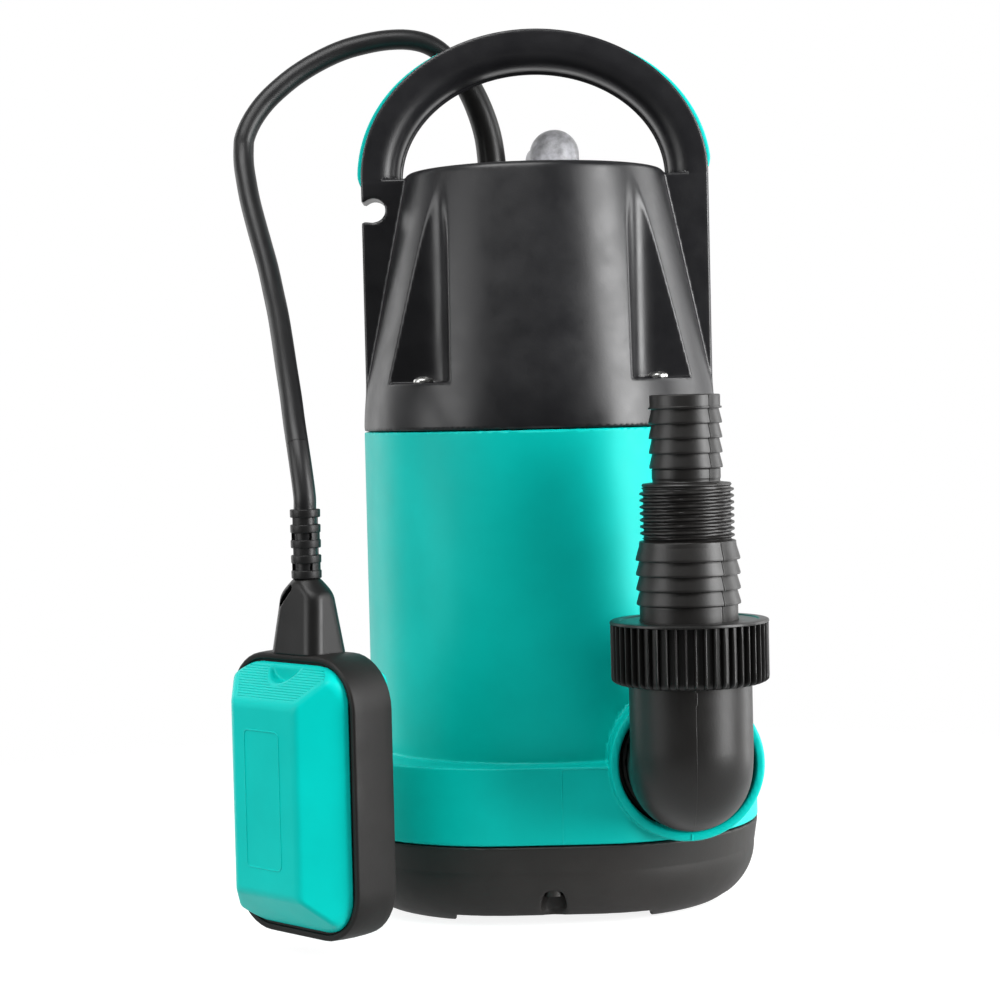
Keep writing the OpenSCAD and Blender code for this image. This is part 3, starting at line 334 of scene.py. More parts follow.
def smooth_line(points, per):
    """Points along a smooth curve through the given ones."""
    p = np.array(points, float)
    p = np.vstack((2 * p[0] - p[1], p, 2 * p[-1] - p[-2]))
    out = []
    for i in range(1, len(p) - 2):
        a, b, c, d = p[i - 1:i + 3]
        for k in range(per):
            t = k / per
            out.append(0.5 * (2 * b + (c - a) * t + (2 * a - 5 * b + 4 * c - d) * t * t
                              + (3 * b - a - 3 * c + d) * t ** 3))
    out.append(p[-2])
    return np.array(out)


def tube_frames(line):
    """Two crosswise directions at each point of a line, without twist."""
    t = np.gradient(line, axis=0)
    t /= np.linalg.norm(t, axis=1)[:, None]
    u = np.array((0, 1, 0), float)
    us, vs = [], []
    for d in t:
        u = u - d * (u @ d)
        u /= np.linalg.norm(u)
        us.append(u)
        vs.append(np.cross(d, u))
    return np.array(us), np.array(vs)


def tube(line, radius, sides, caps=(True, True)):
    """A tube along a line. radius is a number or one for each point."""
    line = np.asarray(line, float)
    radius = np.broadcast_to(radius, len(line))
    us, vs = tube_frames(line)
    a = np.linspace(0, TAU, sides, endpoint=False)
    c, s = np.cos(a)[:, None], np.sin(a)[:, None]
    rings = [line[i] + radius[i] * (c * us[i] + s * vs[i]) for i in range(len(line))]
    return rings_mesh(rings, caps=caps)


LINE_SIDES = 10


def mould_line(points, radius):
    """A thin raised line: vertices, faces and normals."""
    line = np.array(points, float)
    v, f = tube(line, radius, LINE_SIDES)
    n = (v.reshape(len(line), LINE_SIDES, 3) - line[:, None]).reshape(-1, 3) / radius
    return v, f, n


def with_lines(v, f, n, *lines):
    """A surface and its raised lines as one mesh with normals."""
    for lv, lf, ln in lines:
        f = f + [[i + len(v) for i in face] for face in lf]
        v, n = np.concatenate((v, lv)), np.concatenate((n, ln))
    return v, f, n


# ---------------------------------------------------------------- surfaces from distance fields


def smin(a, b, k):
    h = np.maximum(k - np.abs(a - b), 0) / k
    return np.minimum(a, b) - h * h * k * 0.25


def smax(a, b, k):
    return -smin(-a, -b, k)


def corner(a, b):
    """Distance to the corner between two planes, from the distances to each of them."""
    return np.hypot(np.maximum(a, 0), np.maximum(b, 0)) + np.minimum(np.maximum(a, b), 0)


def spans(*parts):
    """Grid lines: (from, to, step) one after another."""
    out = [np.array([parts[0][0]], float)]
    for a, b, step in parts:
        n = max(1, int(round((b - a) / step)))
        out.append(a + (b - a) * np.arange(1, n + 1) / n)
    return np.concatenate(out)


def even_grid(step, *limits):
    """Grid lines along x, y and z, all with about the same step."""
    return [spans((a, b, step)) for a, b in limits]


def gradient(field, p, h):
    g = np.empty_like(p)
    for i in range(3):
        d = np.zeros(3)
        d[i] = h
        g[:, i] = (field(*(p + d).T) - field(*(p - d).T)) / (2 * h)
    return g


def crossed_cells(inside):
    """The grid cells that the surface runs through, and the number of each."""
    n = np.array(inside.shape) - 1
    total = np.zeros(n, np.uint8)
    for a in (0, 1):
        for b in (0, 1):
            for c in (0, 1):
                total += inside[a:a + n[0], b:b + n[1], c:c + n[2]]
    active = (total > 0) & (total < 8)
    cells = np.argwhere(active)
    index = np.full(n, -1, np.int64)
    index[active] = np.arange(len(cells))
    return cells, index


def cell_points(f, cells):
    """A point in each cell, in parts of the cell: the mean of where its edges are crossed."""
    pos, hits = np.zeros((len(cells), 3)), np.zeros(len(cells))
    for axis in range(3):
        for u in (0, 1):
            for v in (0, 1):
                c0 = np.zeros(3, int)
                c0[(axis + 1) % 3], c0[(axis + 2) % 3] = u, v
                c1 = c0.copy()
                c1[axis] = 1
                f0, f1 = f[tuple((cells + c0).T)], f[tuple((cells + c1).T)]
                cut = (f0 < 0) != (f1 < 0)
                t = np.where(cut, f0 / np.where(cut, f0 - f1, 1), 0)
                pos[cut] += (c0 + t[:, None] * (c1 - c0))[cut]
                hits += cut
    return pos / hits[:, None]


def cell_quads(inside, index):
    """A quad around each grid edge that the surface crosses, facing outwards."""
    n = index.shape
    faces = []
    for axis in range(3):
        b, c = (axis + 1) % 3, (axis + 2) % 3
        low, high = [slice(None)] * 3, [slice(None)] * 3
        low[axis], high[axis] = slice(0, n[axis]), slice(1, n[axis] + 1)
        s0, s1 = inside[tuple(low)], inside[tuple(high)]
        e = np.argwhere(s0 != s1)
        e = e[(e[:, b] > 0) & (e[:, b] < n[b]) & (e[:, c] > 0) & (e[:, c] < n[c])]
        ring = []
        for db, dc in ((1, 1), (0, 1), (0, 0), (1, 0)):
            k = e.copy()
            k[:, b] -= db
            k[:, c] -= dc
            ring.append(index[tuple(k.T)])
        ring = np.stack(ring, 1)
        out = ~s0[tuple(e.T)]
        ring[out] = ring[out][:, ::-1]
        faces.append(ring)
    return np.concatenate(faces).tolist()


def surface(field, axes, blur=0.12):
    """The zero surface of a distance field on a grid: vertices, quads and normals."""
    grid = [a.astype(np.float32) for a in axes]
    f = field(*np.meshgrid(*grid, indexing="ij")).astype(np.float32)
    inside = f < 0
    cells, index = crossed_cells(inside)
    pos = cell_points(f, cells)
    points, size = np.empty_like(pos), np.empty_like(pos)
    for i in range(3):
        low, high = axes[i][cells[:, i]], axes[i][cells[:, i] + 1]
        points[:, i] = low + pos[:, i] * (high - low)
        size[:, i] = high - low
    reach = size.min(axis=1)[:, None] * 0.5
    for _ in range(4):
        g = gradient(field, points, 0.04)
        steep = np.maximum((g * g).sum(axis=1, keepdims=True), 0.05)
        step = field(*points.T)[:, None] * g / steep
        length = np.linalg.norm(step, axis=1, keepdims=True)
        points -= step * np.minimum(1, reach / np.maximum(length, 1e-9))
    g = gradient(field, points, blur)
    g /= np.maximum(np.linalg.norm(g, axis=1, keepdims=True), 1e-9)
    return points, cell_quads(inside, index), g


# ---------------------------------------------------------------- housing and base

FOOT_A, FOOT_B, FOOT_CORNER = 81.0, 76.3, 66.0  # the foot's half sizes and its corner radius
SEAM_Z, FOOT_Z, CAP_Z = 30.5, 59.4, 182.0  # tops of the base, of the foot and of the green shell
BODY_R, WALL = 68.7, 3.0
OUT_X, OUT_Z = 49.3, 59.5  # the outlet's axis, which runs along Y
RING_Y, RING_R, SOCKET_R = -77.9, 28.2, 24.75
BOWL_R, BOWL_Z, BOWL_WIDER = 22, 20.9, 1.5  # the base's rounding and its widening above
FOOT_HIGH, FLOOR_Z = 3.0, 6.0
HUB_R, SOLE_R, SOLE_GAP = 14, 46, 36  # what stands between the four feet is cut away
SLOTS, SLOT_MID, SLOT_REACH = 20, 36, 17
BOSS_AT, BOSS_R, WELL_R, WELL_Z = 69.2, 6.2, 4.6, 13.5


def foot_edge(x, y):
    """Distance to the foot's outline, a rounded rectangle."""
    a, b = np.abs(x) - FOOT_A + FOOT_CORNER, np.abs(y) - FOOT_B + FOOT_CORNER
    return corner(a, b) - FOOT_CORNER


def outlet_distance(x, y, z):
    """Distance to the outlet's axis, which ends inside the pump."""
    return np.sqrt((x - OUT_X) ** 2 + (z - OUT_Z) ** 2 + np.maximum(y + 15, 0) ** 2)


def housing_field(x, y, z):
    r, edge = np.hypot(x, y), foot_edge(x, y)
    foot = smax(edge, z - FOOT_Z, 1.0)
    outer = smin(r - BODY_R, foot, 1.0)
    outlet = outlet_distance(x, y, z)
    ring = smax(outlet - RING_R, RING_Y - y, 1.5)
    outer = smin(outer, ring, 0.9)
    outer = smax(outer, SEAM_Z + 0.25 - z, 0.9)
    outer = smax(outer, z - CAP_Z + 0.2, 0.6)
    inner = smin(r - BODY_R + WALL, smax(edge + WALL, z - FOOT_Z + WALL, 1.0), 1.0)
    solid = smax(outer, -inner, 0.8)
    return smax(solid, -(outlet - SOCKET_R), 1.2)


def make_housing():
    """The green shell, with the raised outline of its mould's insert beside the ring."""
    x = spans((-83, 83, 1.25))
    y = spans((-80, 79, 1.25))
    z = spans((28, 66, 1.0), (66, 92, 1.25), (92, 180, 8), (180, 184, 1.0))
    front = -FOOT_B + 0.18
    line = [(3.6, front, SEAM_Z + 0.6), (3.8, front, 57.2), (4.1, front, 58.1),
            (5.0, front, 58.5), (12, front, 58.5), (21.3, front + 0.1, 58.4)]
    nub = [(OUT_X + 1.2, RING_Y - 0.05, OUT_Z - RING_R + 0.6),
           (OUT_X + 1.2, RING_Y - 0.05, OUT_Z - 25.4)]
    v, f, n = with_lines(*surface(housing_field, (x, y, z)),
                         mould_line(line, 0.32), mould_line(nub, 0.3))
    put("housing_shell", v, f, TEAL, "housing", ("pump_housing",), n)


def base_field(x, y, z):
    """The strainer base: a bowl with a lip, screw bosses, four feet, a hub and inlet slots."""
    r, edge = np.hypot(x, y), foot_edge(x, y)
    wider = BOWL_WIDER * np.clip((SEAM_Z - z) / 9.6, 0, 1)
    bowl = corner(edge + BOWL_R + wider, BOWL_Z - z) - BOWL_R
    outer = smax(bowl, -z, 0.8)
    outer = smax(outer, z - SEAM_Z + 0.15, 0.9)
    inner = smax(bowl + WALL, FLOOR_Z - z, 1.0)
    solid = smax(outer, -inner, 0.8)
    lip = smax(smax(edge + 3.6, -(edge + 6.6), 0.4), np.abs(z - 30) - 4.0, 0.6)
    solid = np.minimum(solid, lip)
    post = np.minimum(np.hypot(np.abs(x) - BOSS_AT, y), np.hypot(x, np.abs(y) - BOSS_AT))
    boss = np.maximum(np.maximum(post - BOSS_R, 5 - z),
                      np.maximum(bowl + 0.3, z - SEAM_Z + 0.15))
    solid = np.minimum(solid, boss)
    cross = smax(smin(np.abs(x) - SOLE_GAP, np.abs(y) - SOLE_GAP, 0.8), z - FOOT_HIGH, 0.8)
    sole = smax(smax(r - SOLE_R, HUB_R - r, 0.8), z - FOOT_HIGH, 0.8)
    solid = smax(solid, -np.minimum(cross, sole), 0.9)
    hub = smax(smax(r - HUB_R, z - 4.0, 0.5), -z, 0.6)
    solid = np.minimum(solid, hub)
    step = TAU / SLOTS
    off = (np.mod(np.arctan2(y, x), step) - step / 2) * r
    slot = smax(np.abs(off) - 2.0, np.abs(r - SLOT_MID) - SLOT_REACH, 1.5)
    solid = smax(solid, -smax(slot, z - 12, 0.5), 0.9)
    return smax(solid, -smax(post - WELL_R, z - WELL_Z, 1.5), 1.2)


def make_base():
    grid = spans((-83, 83, 1.2)), spans((-79, 79, 1.2)), spans((-1, 36, 0.9))
    v, f, n = surface(base_field, grid)
    put("base_shell", v, f, BLACK_BASE, "housing", ("base_strainer",), n)


# ---------------------------------------------------------------- cap, wings and arch

CONE_Z, TOP_Z, TOP_R, CAP_WALL = 192.0, 281.5, 50.3, 3.5  # where the cone starts and ends
SLOPE = (BODY_R - TOP_R) / (TOP_Z - CONE_Z)
CONE_COS = 1 / math.hypot(1, SLOPE)
POCKET_A, POCKET_B, POCKET_Z, POCKET_WALL = 33.8, 34.9, 200.0, 2.5
ARCH_Z, ARCH_HALF = 279.5, 10.0  # where the arch stands on the wings, and half its width
ARCH_A, ARCH_B, INNER_A, INNER_B = 67.3, 56.6, 52.8, 42.3
NOTCH_X, NOTCH_Z, NOTCH_R = -62.7, 267.6, 4.6


def ellipse(x, z, a, b):
    """About the distance to an ellipse."""
    f = np.maximum(np.hypot(x / a, z / b), 1e-3)
    return (f - 1) * f / np.maximum(np.hypot(x / a ** 2, z / b ** 2), 1e-5)


def arch_field(x, y, up):
    """The arch, with its inner edge rounded to the front, a bead behind it and a grip groove."""
    a, b = np.abs(x), np.abs(y)
    outside = np.where(up > 0, ellipse(x, up, ARCH_A, ARCH_B), a - ARCH_A)
    opening = np.where(up > 0, ellipse(x, up, INNER_A, INNER_B), a - INNER_A)
    arch = smax(outside, b - ARCH_HALF, 1.2)
    arch = smax(arch, -smin(opening, ARCH_HALF + y, 11.0), 0.6)
    bead = np.hypot(opening + 0.1, y - 8.7) - 1.0
    arch = smin(arch, bead, 0.5)
    arch = np.maximum(arch, -0.6 - up)
    groove = np.maximum(np.maximum(b - 8.15, -1.2 - outside), 1.5 - up)
    return smax(arch, -groove, 0.4)


def cap_field(x, y, z):
    a, b, r = np.abs(x), np.abs(y), np.hypot(x, y)
    cone = (r - BODY_R + SLOPE * (z - CONE_Z)) * CONE_COS
    side = smax(r - BODY_R, cone, 2.0)
    outer = smax(side, z - TOP_Z, 2.4)
    outer = smax(outer, CAP_Z + 0.1 - z, 0.9)
    inner = smax(smax(r - BODY_R + CAP_WALL, cone + CAP_WALL, 1.0), z - TOP_Z + CAP_WALL, 1.0)
    solid = smax(outer, -inner, 0.8)
    # corner pockets: their inner edge is soft, and the slanted one beside the wing is crisp
    room = smax(POCKET_A - a, POCKET_B - b, 10.5)
    wall = smax(POCKET_A - POCKET_WALL - a, POCKET_B - POCKET_WALL - b, 12.0)
    wall = np.maximum(wall, POCKET_Z - 3.0 - z)
    solid = np.minimum(solid, np.maximum(outer, wall))
    soft = 0.7 + 0.4 * np.clip((b - a) / 8 + 0.5, 0, 1)
    solid = smax(solid, -smax(room, POCKET_Z - z, 0.8), soft)
    # wings under the arch
    up = z - ARCH_Z
    wing = smax(a - ARCH_A, up, 0.8)
    wing = smax(wing, b - ARCH_HALF, 1.2)
    wing = np.maximum(np.maximum(wing, 46.0 - a), 187.0 - z)
    solid = smin(solid, np.minimum(wing, arch_field(x, y, up)), 1.0)
    # the cord's notch in the left wing, open to the outside
    notch = np.hypot(x - NOTCH_X, z - NOTCH_Z) - NOTCH_R
    mouth = np.maximum(np.maximum(x - NOTCH_X, NOTCH_Z - 4.5 - z), z - NOTCH_Z - 2.8)
    notch = np.maximum(smin(notch, mouth, 1.0), b - 14)
    return smax(solid, -notch, 0.9)


def make_cap():
    """The black cap. The grid is finer where the arch and the wings have their edges."""
    x = spans((-71, 71, 1.05))
    y = spans((-71, -11, 1.05), (-11, -7, 0.5), (-7, 7, 1.05), (7, 11, 0.5), (11, 71, 1.05))
    z = spans((180, 340, 1.05))
    v, f, n = surface(cap_field, (x, y, z), 0.22)
    put("cap_shell", v, f, BLACK_CAP, "housing", ("top_cap",), n)


GRIP_SUNK, GRIP_HIGH = 1.3, 1.4  # its inside below the arch's surface, its ends above it


def make_grip():
    """The green strip over the outside of the arch, with rounded edges and slim ends."""
    section = rounded([(0, -8.0), (1, -8.0, 0.7), (1, 8.0, 0.7), (0, 8.0)], 4)
    rings = []
    start, end, steps = math.radians(2.2), math.radians(182.5), 120
    for i in range(steps + 1):
        t = start + (end - start) * i / steps
        fade = min(1, i / 3, (steps - i) / 3)
        high = max(-0.35, GRIP_HIGH * (1 - (math.sin(t) ** 2 / 0.78) ** 2))
        high *= 0.25 + 0.75 * math.sin(fade * math.pi / 2)
        foot = np.array((ARCH_A * math.cos(t), ARCH_B * math.sin(t)))
        normal = np.array((math.cos(t) / ARCH_A, math.sin(t) / ARCH_B))
        normal /= np.linalg.norm(normal)
        ring = []
        for u, w in section:
            p = foot + normal * (-GRIP_SUNK + u * (GRIP_SUNK + high))
            ring.append((p[0], w, ARCH_Z + p[1]))
        rings.append(ring[::-1])
    v, f = rings_mesh(rings)
    put("grip_strip", v, f, TEAL, "housing", ("handle_grip",), crease=50)


# ---------------------------------------------------------------- outlet side

HOSE_Y = -100.0  # the hose's axis stands upright at OUT_X, HOSE_Y
BEND_R, PIPE_R, BORE_R = 10.0, 21.7, 17.5
PIPE_END, PIPE_TOP = -49.2, 108.0
COLLAR_R, COLLAR_Y = 23.6, -68.7
NUT_THREAD_R, NUT_THREAD_Z = 23.0, 99.4
NUT_Z, NUT_TOP, NUT_RIBS, NUT_ROOT, NUT_TIP = 91.76, 114.36, 50, 26.0, 27.85
THREAD_Z, THREAD_TOP, THREAD_ROOT, THREAD_DEPTH, THREAD_PITCH = 142.56, 161.03, 15.35, 1.25, 2.309


def elbow_path(y, z):
    """Distance from the elbow's centre line, seen from the side."""
    bend_y, bend_z = HOSE_Y + BEND_R, OUT_Z + BEND_R
    leg = np.hypot(y - np.clip(y, bend_y, -40.0), z - OUT_Z)
    riser = np.hypot(y - HOSE_Y, z - np.clip(z, bend_z, 120.0))
    arc = np.abs(np.hypot(y - bend_y, z - bend_z) - BEND_R)
    bend = np.where((y < bend_y) & (z < bend_z), arc, 99.0)
    return np.minimum(np.minimum(leg, riser), bend)


def elbow_field(x, y, z):
    d = np.hypot(x - OUT_X, elbow_path(y, z))
    collar = smax(np.hypot(x - OUT_X, z - OUT_Z) - COLLAR_R, np.abs(y - COLLAR_Y) - 1.5, 0.6)
    thread = smax(np.hypot(x - OUT_X, y - HOSE_Y) - NUT_THREAD_R,
                  np.abs(z - NUT_THREAD_Z) - 7.0, 0.5)
    solid = np.minimum(np.minimum(d - PIPE_R, collar), thread)
    solid = smax(solid, BORE_R - d, 0.5)
    return smax(smax(solid, y - PIPE_END, 0.5), z - PIPE_TOP, 0.5)


def make_elbow():
    """The black elbow with its tight corner and, down its front, the mould's raised line."""
    out = PIPE_R - 0.21
    line = [(OUT_X, HOSE_Y - out, z) for z in np.linspace(91.4, OUT_Z + BEND_R, 8)]
    for i in range(1, 15):
        t = math.radians(78 * i / 14)
        line.append((OUT_X, HOSE_Y + BEND_R - (BEND_R + out) * math.cos(t),
                     OUT_Z + BEND_R - (BEND_R + out) * math.sin(t)))
    nub = [(OUT_X + 0.4, HOSE_Y - out, 90.6), (OUT_X + 0.4, HOSE_Y - out, 86.4)]
    grid = even_grid(0.9, (24.5, 74), (-124, -48), (36.5, 109.5))
    v, f, n = with_lines(*surface(elbow_field, grid),
                         mould_line(line, 0.3), mould_line(nub, 0.42))
    put("elbow_pipe", v, f, BLACK_PIPE, "elbow", ("outlet_elbow",), n)


def make_nut():
    """The ribbed union nut: slim round ribs, wide dark grooves, a thin plain rim on top."""
    steps = np.array((0, 0.24, 0.29, 0.305, 0.33, 0.38, 0.44, 0.5, 0.56, 0.62, 0.67, 0.695,
                      0.71, 0.76))
    angles = ((np.arange(NUT_RIBS)[:, None] + steps) * TAU / NUT_RIBS).ravel()
    crown = np.tile(np.sqrt(np.clip(1 - ((steps - 0.5) / 0.2) ** 2, 0, 1)), NUT_RIBS)
    # radius, share of the ribs' height, and z: up the outside, then down the inside
    rows = [(24.4, 0, NUT_Z), (25.0, 0.25, NUT_Z + 0.25), (25.7, 0.7, NUT_Z + 0.9),
            (NUT_ROOT, 0.93, NUT_Z + 1.6), (NUT_ROOT, 1, NUT_Z + 2.6), (NUT_ROOT, 1, NUT_Z + 6),
            (NUT_ROOT, 1, NUT_TOP - 6), (NUT_ROOT, 1, NUT_TOP - 1.35), (27.8, 0, NUT_TOP - 1.2),
            (28.0, 0, NUT_TOP - 1.0), (28.0, 0, NUT_TOP - 0.6), (27.8, 0, NUT_TOP - 0.2),
            (27.3, 0, NUT_TOP), (24.5, 0, NUT_TOP), (24.0, 0, NUT_TOP - 0.35),
            (17.6, 0, NUT_TOP - 0.35), (17.5, 0, NUT_TOP - 3), (23.1, 0, NUT_TOP - 3),
            (23.1, 0, NUT_Z)]
    rings = [circle(r + ribbed * crown * (NUT_TIP - NUT_ROOT), z, angles)
             for r, ribbed, z in rows]
    v, f = moved(rings_mesh(rings, close=True), (OUT_X, HOSE_Y, 0))
    put("nut_ring", v, f, BLACK_NUT, "nut", ("union_nut",), crease=32)


def barb(z0, count, r, root, pitch=5.2):
    """The outline of a hose barb's teeth, one above the other."""
    out = []
    for i in range(count):
        z = z0 + i * pitch
        out += [(root + 0.05, z - 0.15, 0.15), (r, z - 0.02, 0.22), (r - 0.02, z + 0.75, 0.3),
                (root + 0.1, z + pitch - 0.4, 0.4)]
    return out


def make_connector():
    """Stepped hose connector: large barb, pipe thread, small barb, a mould seam on each side."""
    even = np.linspace(0, TAU, 96, endpoint=False)
    seams = [math.radians(-52), math.radians(128)]
    near = np.array((-0.03, -0.018, -0.01, 0, 0.01, 0.018, 0.03))
    fine = np.concatenate([s + near for s in seams])
    angles = np.unique(np.round(np.mod(np.concatenate((even, fine)), TAU), 5))
    ridge = np.zeros(len(angles))
    for s in seams:
        gap = (angles - s + math.pi) % TAU - math.pi
        ridge += 0.2 * np.exp(-(gap / 0.011) ** 2)
    low = [(16.5, 109.4), (22.2, 109.4), (22.2, 111.2), (17.3, 111.2), (17.3, 119.0, 0.3)]
    low += barb(119.76, 4, 18.35, 17.05)
    low += [(17.0, 141.9, 0.4), (15.6, 142.3, 0.2), (THREAD_ROOT, THREAD_Z)]
    high = [(THREAD_ROOT, THREAD_TOP), (15.9, THREAD_TOP + 0.5, 0.3),
            (15.4, THREAD_TOP + 1.2, 0.3), (11.7, THREAD_TOP + 1.6, 0.5),
            (12.1, THREAD_TOP + 3.0, 0.6), (12.1, 167.0, 0.3)]
    high += barb(167.53, 5, 12.9, 11.8)[:-1]
    high += [(12.4, 188.9, 0.3), (12.4, 193.2, 0.5)]
    high += [(9.4, 193.33, 0.4), (9.4, 145), (12.95, 138), (12.95, 118), (16.5, 113)]
    rings = [circle(r + ridge, z, angles) for r, z in rounded(low, 3)]
    n = int((THREAD_TOP - THREAD_Z) / 0.17)
    for i in range(1, n):
        z = THREAD_Z + (THREAD_TOP - THREAD_Z) * i / n
        phase = np.mod((z - THREAD_Z) / THREAD_PITCH - angles / TAU, 1)
        tooth = np.clip((0.5 - np.abs(phase - 0.5) - 0.13) / 0.24, 0, 1)
        ends = min(1, (z - THREAD_Z) / 0.9, (THREAD_TOP - z) / 0.9)
        rings.append(circle(THREAD_ROOT + THREAD_DEPTH * tooth * ends, z, angles))
    for r, z in rounded(high, 3):
        outside = r > 11 and THREAD_TOP < z < 193
        rings.append(circle(r + ridge if outside else r, z, angles))
    v, f = moved(rings_mesh(rings, close=True), (OUT_X, HOSE_Y, 0))
    put("connector_barbs", v, f, BLACK_PIPE, "elbow", ("hose_connector",),
        crease=38)


# ---------------------------------------------------------------- the float

FLOAT_TURN = about_z(-45.0)
FLOAT_AT = np.array((-84.8, -100.0, 156.45))  # the float is modelled about its cord's end
FLOAT_MID, RIM_W, RIM_H, RIM_R = -100.2, 67, 99.4, 19.0
BAND_HALF, FACE_OUT = 8.0, 14.0  # half the band between the shells, and what a shell stands out
PANEL_A, PANEL_B, SLANT = 17.0, 33.4, 0.707  # the flat panel's half sizes
SHELL_W, SHELL_H, SHELL_R = 61.6, RIM_H - 5.4, RIM_R - 2.7
SCOOP_Z, SCOOP_R = RIM_H / 2 - 1.0, 8.6


def to_world(v):
    return np.asarray(v, float) @ FLOAT_TURN.T + FLOAT_AT


def slab(x, z, w, h, r):
    """Distance to an upright rounded rectangle about the float's middle."""
    return corner(np.abs(x) - w / 2 + r, np.abs(z - FLOAT_MID) - h / 2 + r) - r


def shell_field(x, y, z):
    """The front shell: a flat panel with slanted sides and a thumb scoop on the upper slant."""
    out = -y - BAND_HALF
    a, b = np.abs(x), np.abs(z - FLOAT_MID)
    side = (a - PANEL_A) * SLANT + (out - FACE_OUT) * SLANT
    ends = (b - PANEL_B) * SLANT + (out - FACE_OUT) * SLANT
    body = smax(smax(side, ends, 1.4), out - FACE_OUT, 1.6)
    body = smax(body, slab(x, z, SHELL_W, SHELL_H, SHELL_R), 2.4)
    body = smax(body, -out, 0.4)
    scoop = np.sqrt(x ** 2 + (z - (FLOAT_MID + SCOOP_Z)) ** 2) - SCOOP_R
    return smax(body, -smax(scoop, -(out - 2.0), 0.8), 0.8)


def panel_frame():
    """The thin raised frame on the flat panel."""
    top, bottom, left, right, r = FLOAT_MID + 24.0, FLOAT_MID - 24.0, -10.0, 8.4, 2.0
    outline = [(0.0, top)]
    for cx, cz, start in ((left + r, top - r, 90), (left + r, bottom + r, 180),
                          (right - r, bottom + r, 270), (right - r, top - r, 0)):
        for t in np.radians(np.linspace(start, start + 90, 6)):
            outline.append((cx + r * math.cos(t), cz + r * math.sin(t)))
    outline.append((0.01, top))
    return mould_line([(x, -21.9, z) for x, z in outline], 0.3)


def slant_ribs():
    """Fine ribs across the upper slant, which leave the scoop free."""
    out = []
    for i in range(13):
        rise = 2.0 + 0.8 * i
        z = FLOAT_MID + PANEL_B + rise
        y = -BAND_HALF - FACE_OUT + rise - 0.02
        up = max(0.0, z - FLOAT_MID - SHELL_H / 2 + SHELL_R)
        wide = min(15.4 + 0.8 * i, 31.0 - RIM_R + math.sqrt(SHELL_R ** 2 - up * up))
        inner = math.sqrt(max(0, 9.6 ** 2 - (z - FLOAT_MID - SCOOP_Z) ** 2))
        pieces = [(-wide, -inner), (inner, wide)] if inner > 0 else [(-wide, wide)]
        out += [mould_line([(a, y, z), ((a + b) / 2, y, z), (b, y, z)], 0.16) for a, b in pieces]
    return out


def make_shells():
    """Both shells. The back one is the front one turned half around."""
    grid = even_grid(0.6, (-33, 33), (-24, -6), (-151, -51))
    v, f, n = with_lines(*surface(shell_field, grid, 0.1), panel_frame(), *slant_ribs())
    for name, node, flip in (("float_face", "float_front_shell", 1),
                             ("float_back", "float_back_shell", -1)):
        m = np.array((flip, flip, 1))
        put(name, to_world(v * m), f, TEAL_FLOAT, "float", (node,),
            (n * m) @ FLOAT_TURN.T)


def rect_ring(inset, y):
    """Points of the rim's outline, moved inwards. Every ring has the same number of them."""
    w, h, r = RIM_W - 2 * inset, RIM_H - 2 * inset, RIM_R - inset
    out = []
    for sx, sz, start in ((1, 1, 0), (-1, 1, 90), (-1, -1, 180), (1, -1, 270)):
        for t in np.radians(np.linspace(start, start + 90, 11)):
            out.append((sx * (w / 2 - r) + r * math.cos(t), y,
                        FLOAT_MID + sz * (h / 2 - r) + r * math.sin(t)))
    return np.array(out)


def make_rim():
    """The black band between the shells, its lips rounded and its face slightly crowned."""
    line = rounded([(4.5, 0), (4.5, 7.9, 0.3), (2.5, 7.9, 0.4), (2.4, 8.8, 0.5), (0.25, 9.0, 0.9),
                    (0.0, 5.0), (-0.12, 0), (0.0, -5.0), (0.25, -9.0, 0.9), (2.4, -8.8, 0.5),
                    (2.5, -7.9, 0.4), (4.5, -7.9, 0.3), (4.5, -0.01)], 4)
    v, f = rings_mesh([rect_ring(inset, y) for inset, y in line], close=True)
    put("float_band", to_world(v), f, RUBBER_RIM, "float", ("float_rim",),
        crease=50)


def neck_field(x, y, z):
    """The boot over the float's top: a tapered box with soft shoulders, then a cone."""
    t = np.clip((z + 50.5) / 19.5, 0, 1.2)
    width, depth, r = 12.4 - 2.2 * t, 8.9 - 2.5 * t, 5.0
    box = corner(np.abs(x) - width + r, np.abs(y) - depth + r) - r
    cone_r = 5.3 + np.clip((-25.0 - z), 0, 30) * 0.95
    cone = (np.hypot(x, y * 1.1) - cone_r) * 0.72
    out = smax(box, cone, 1.2)
    out = smax(smax(out, z + 24.6, 0.8), -50.9 - z, 0.5)
    # a slanted slot moulded into the shoulder, from (-2.2, -27.8) down by (5.0, 5.8)
    px, pz = x + 2.2, z + 27.8
    along = np.clip((px * -5.0 + pz * -5.8) / 58.6, 0, 1)
    slot = np.hypot(px + 5.0 * along, pz + 5.8 * along) - 0.8
    return smax(out, -np.maximum(slot, y + 1.5), 0.4)


def make_neck():
    grid = even_grid(0.45, (-14, 14), (-11, 11), (-52, -23))
    v, f, n = surface(neck_field, grid, 0.08)
    put("float_boot", to_world(v), f, BLACK_SATIN, "float",
        ("float_neck",), n @ FLOAT_TURN.T)


# ---------------------------------------------------------------- cord, relief and glands

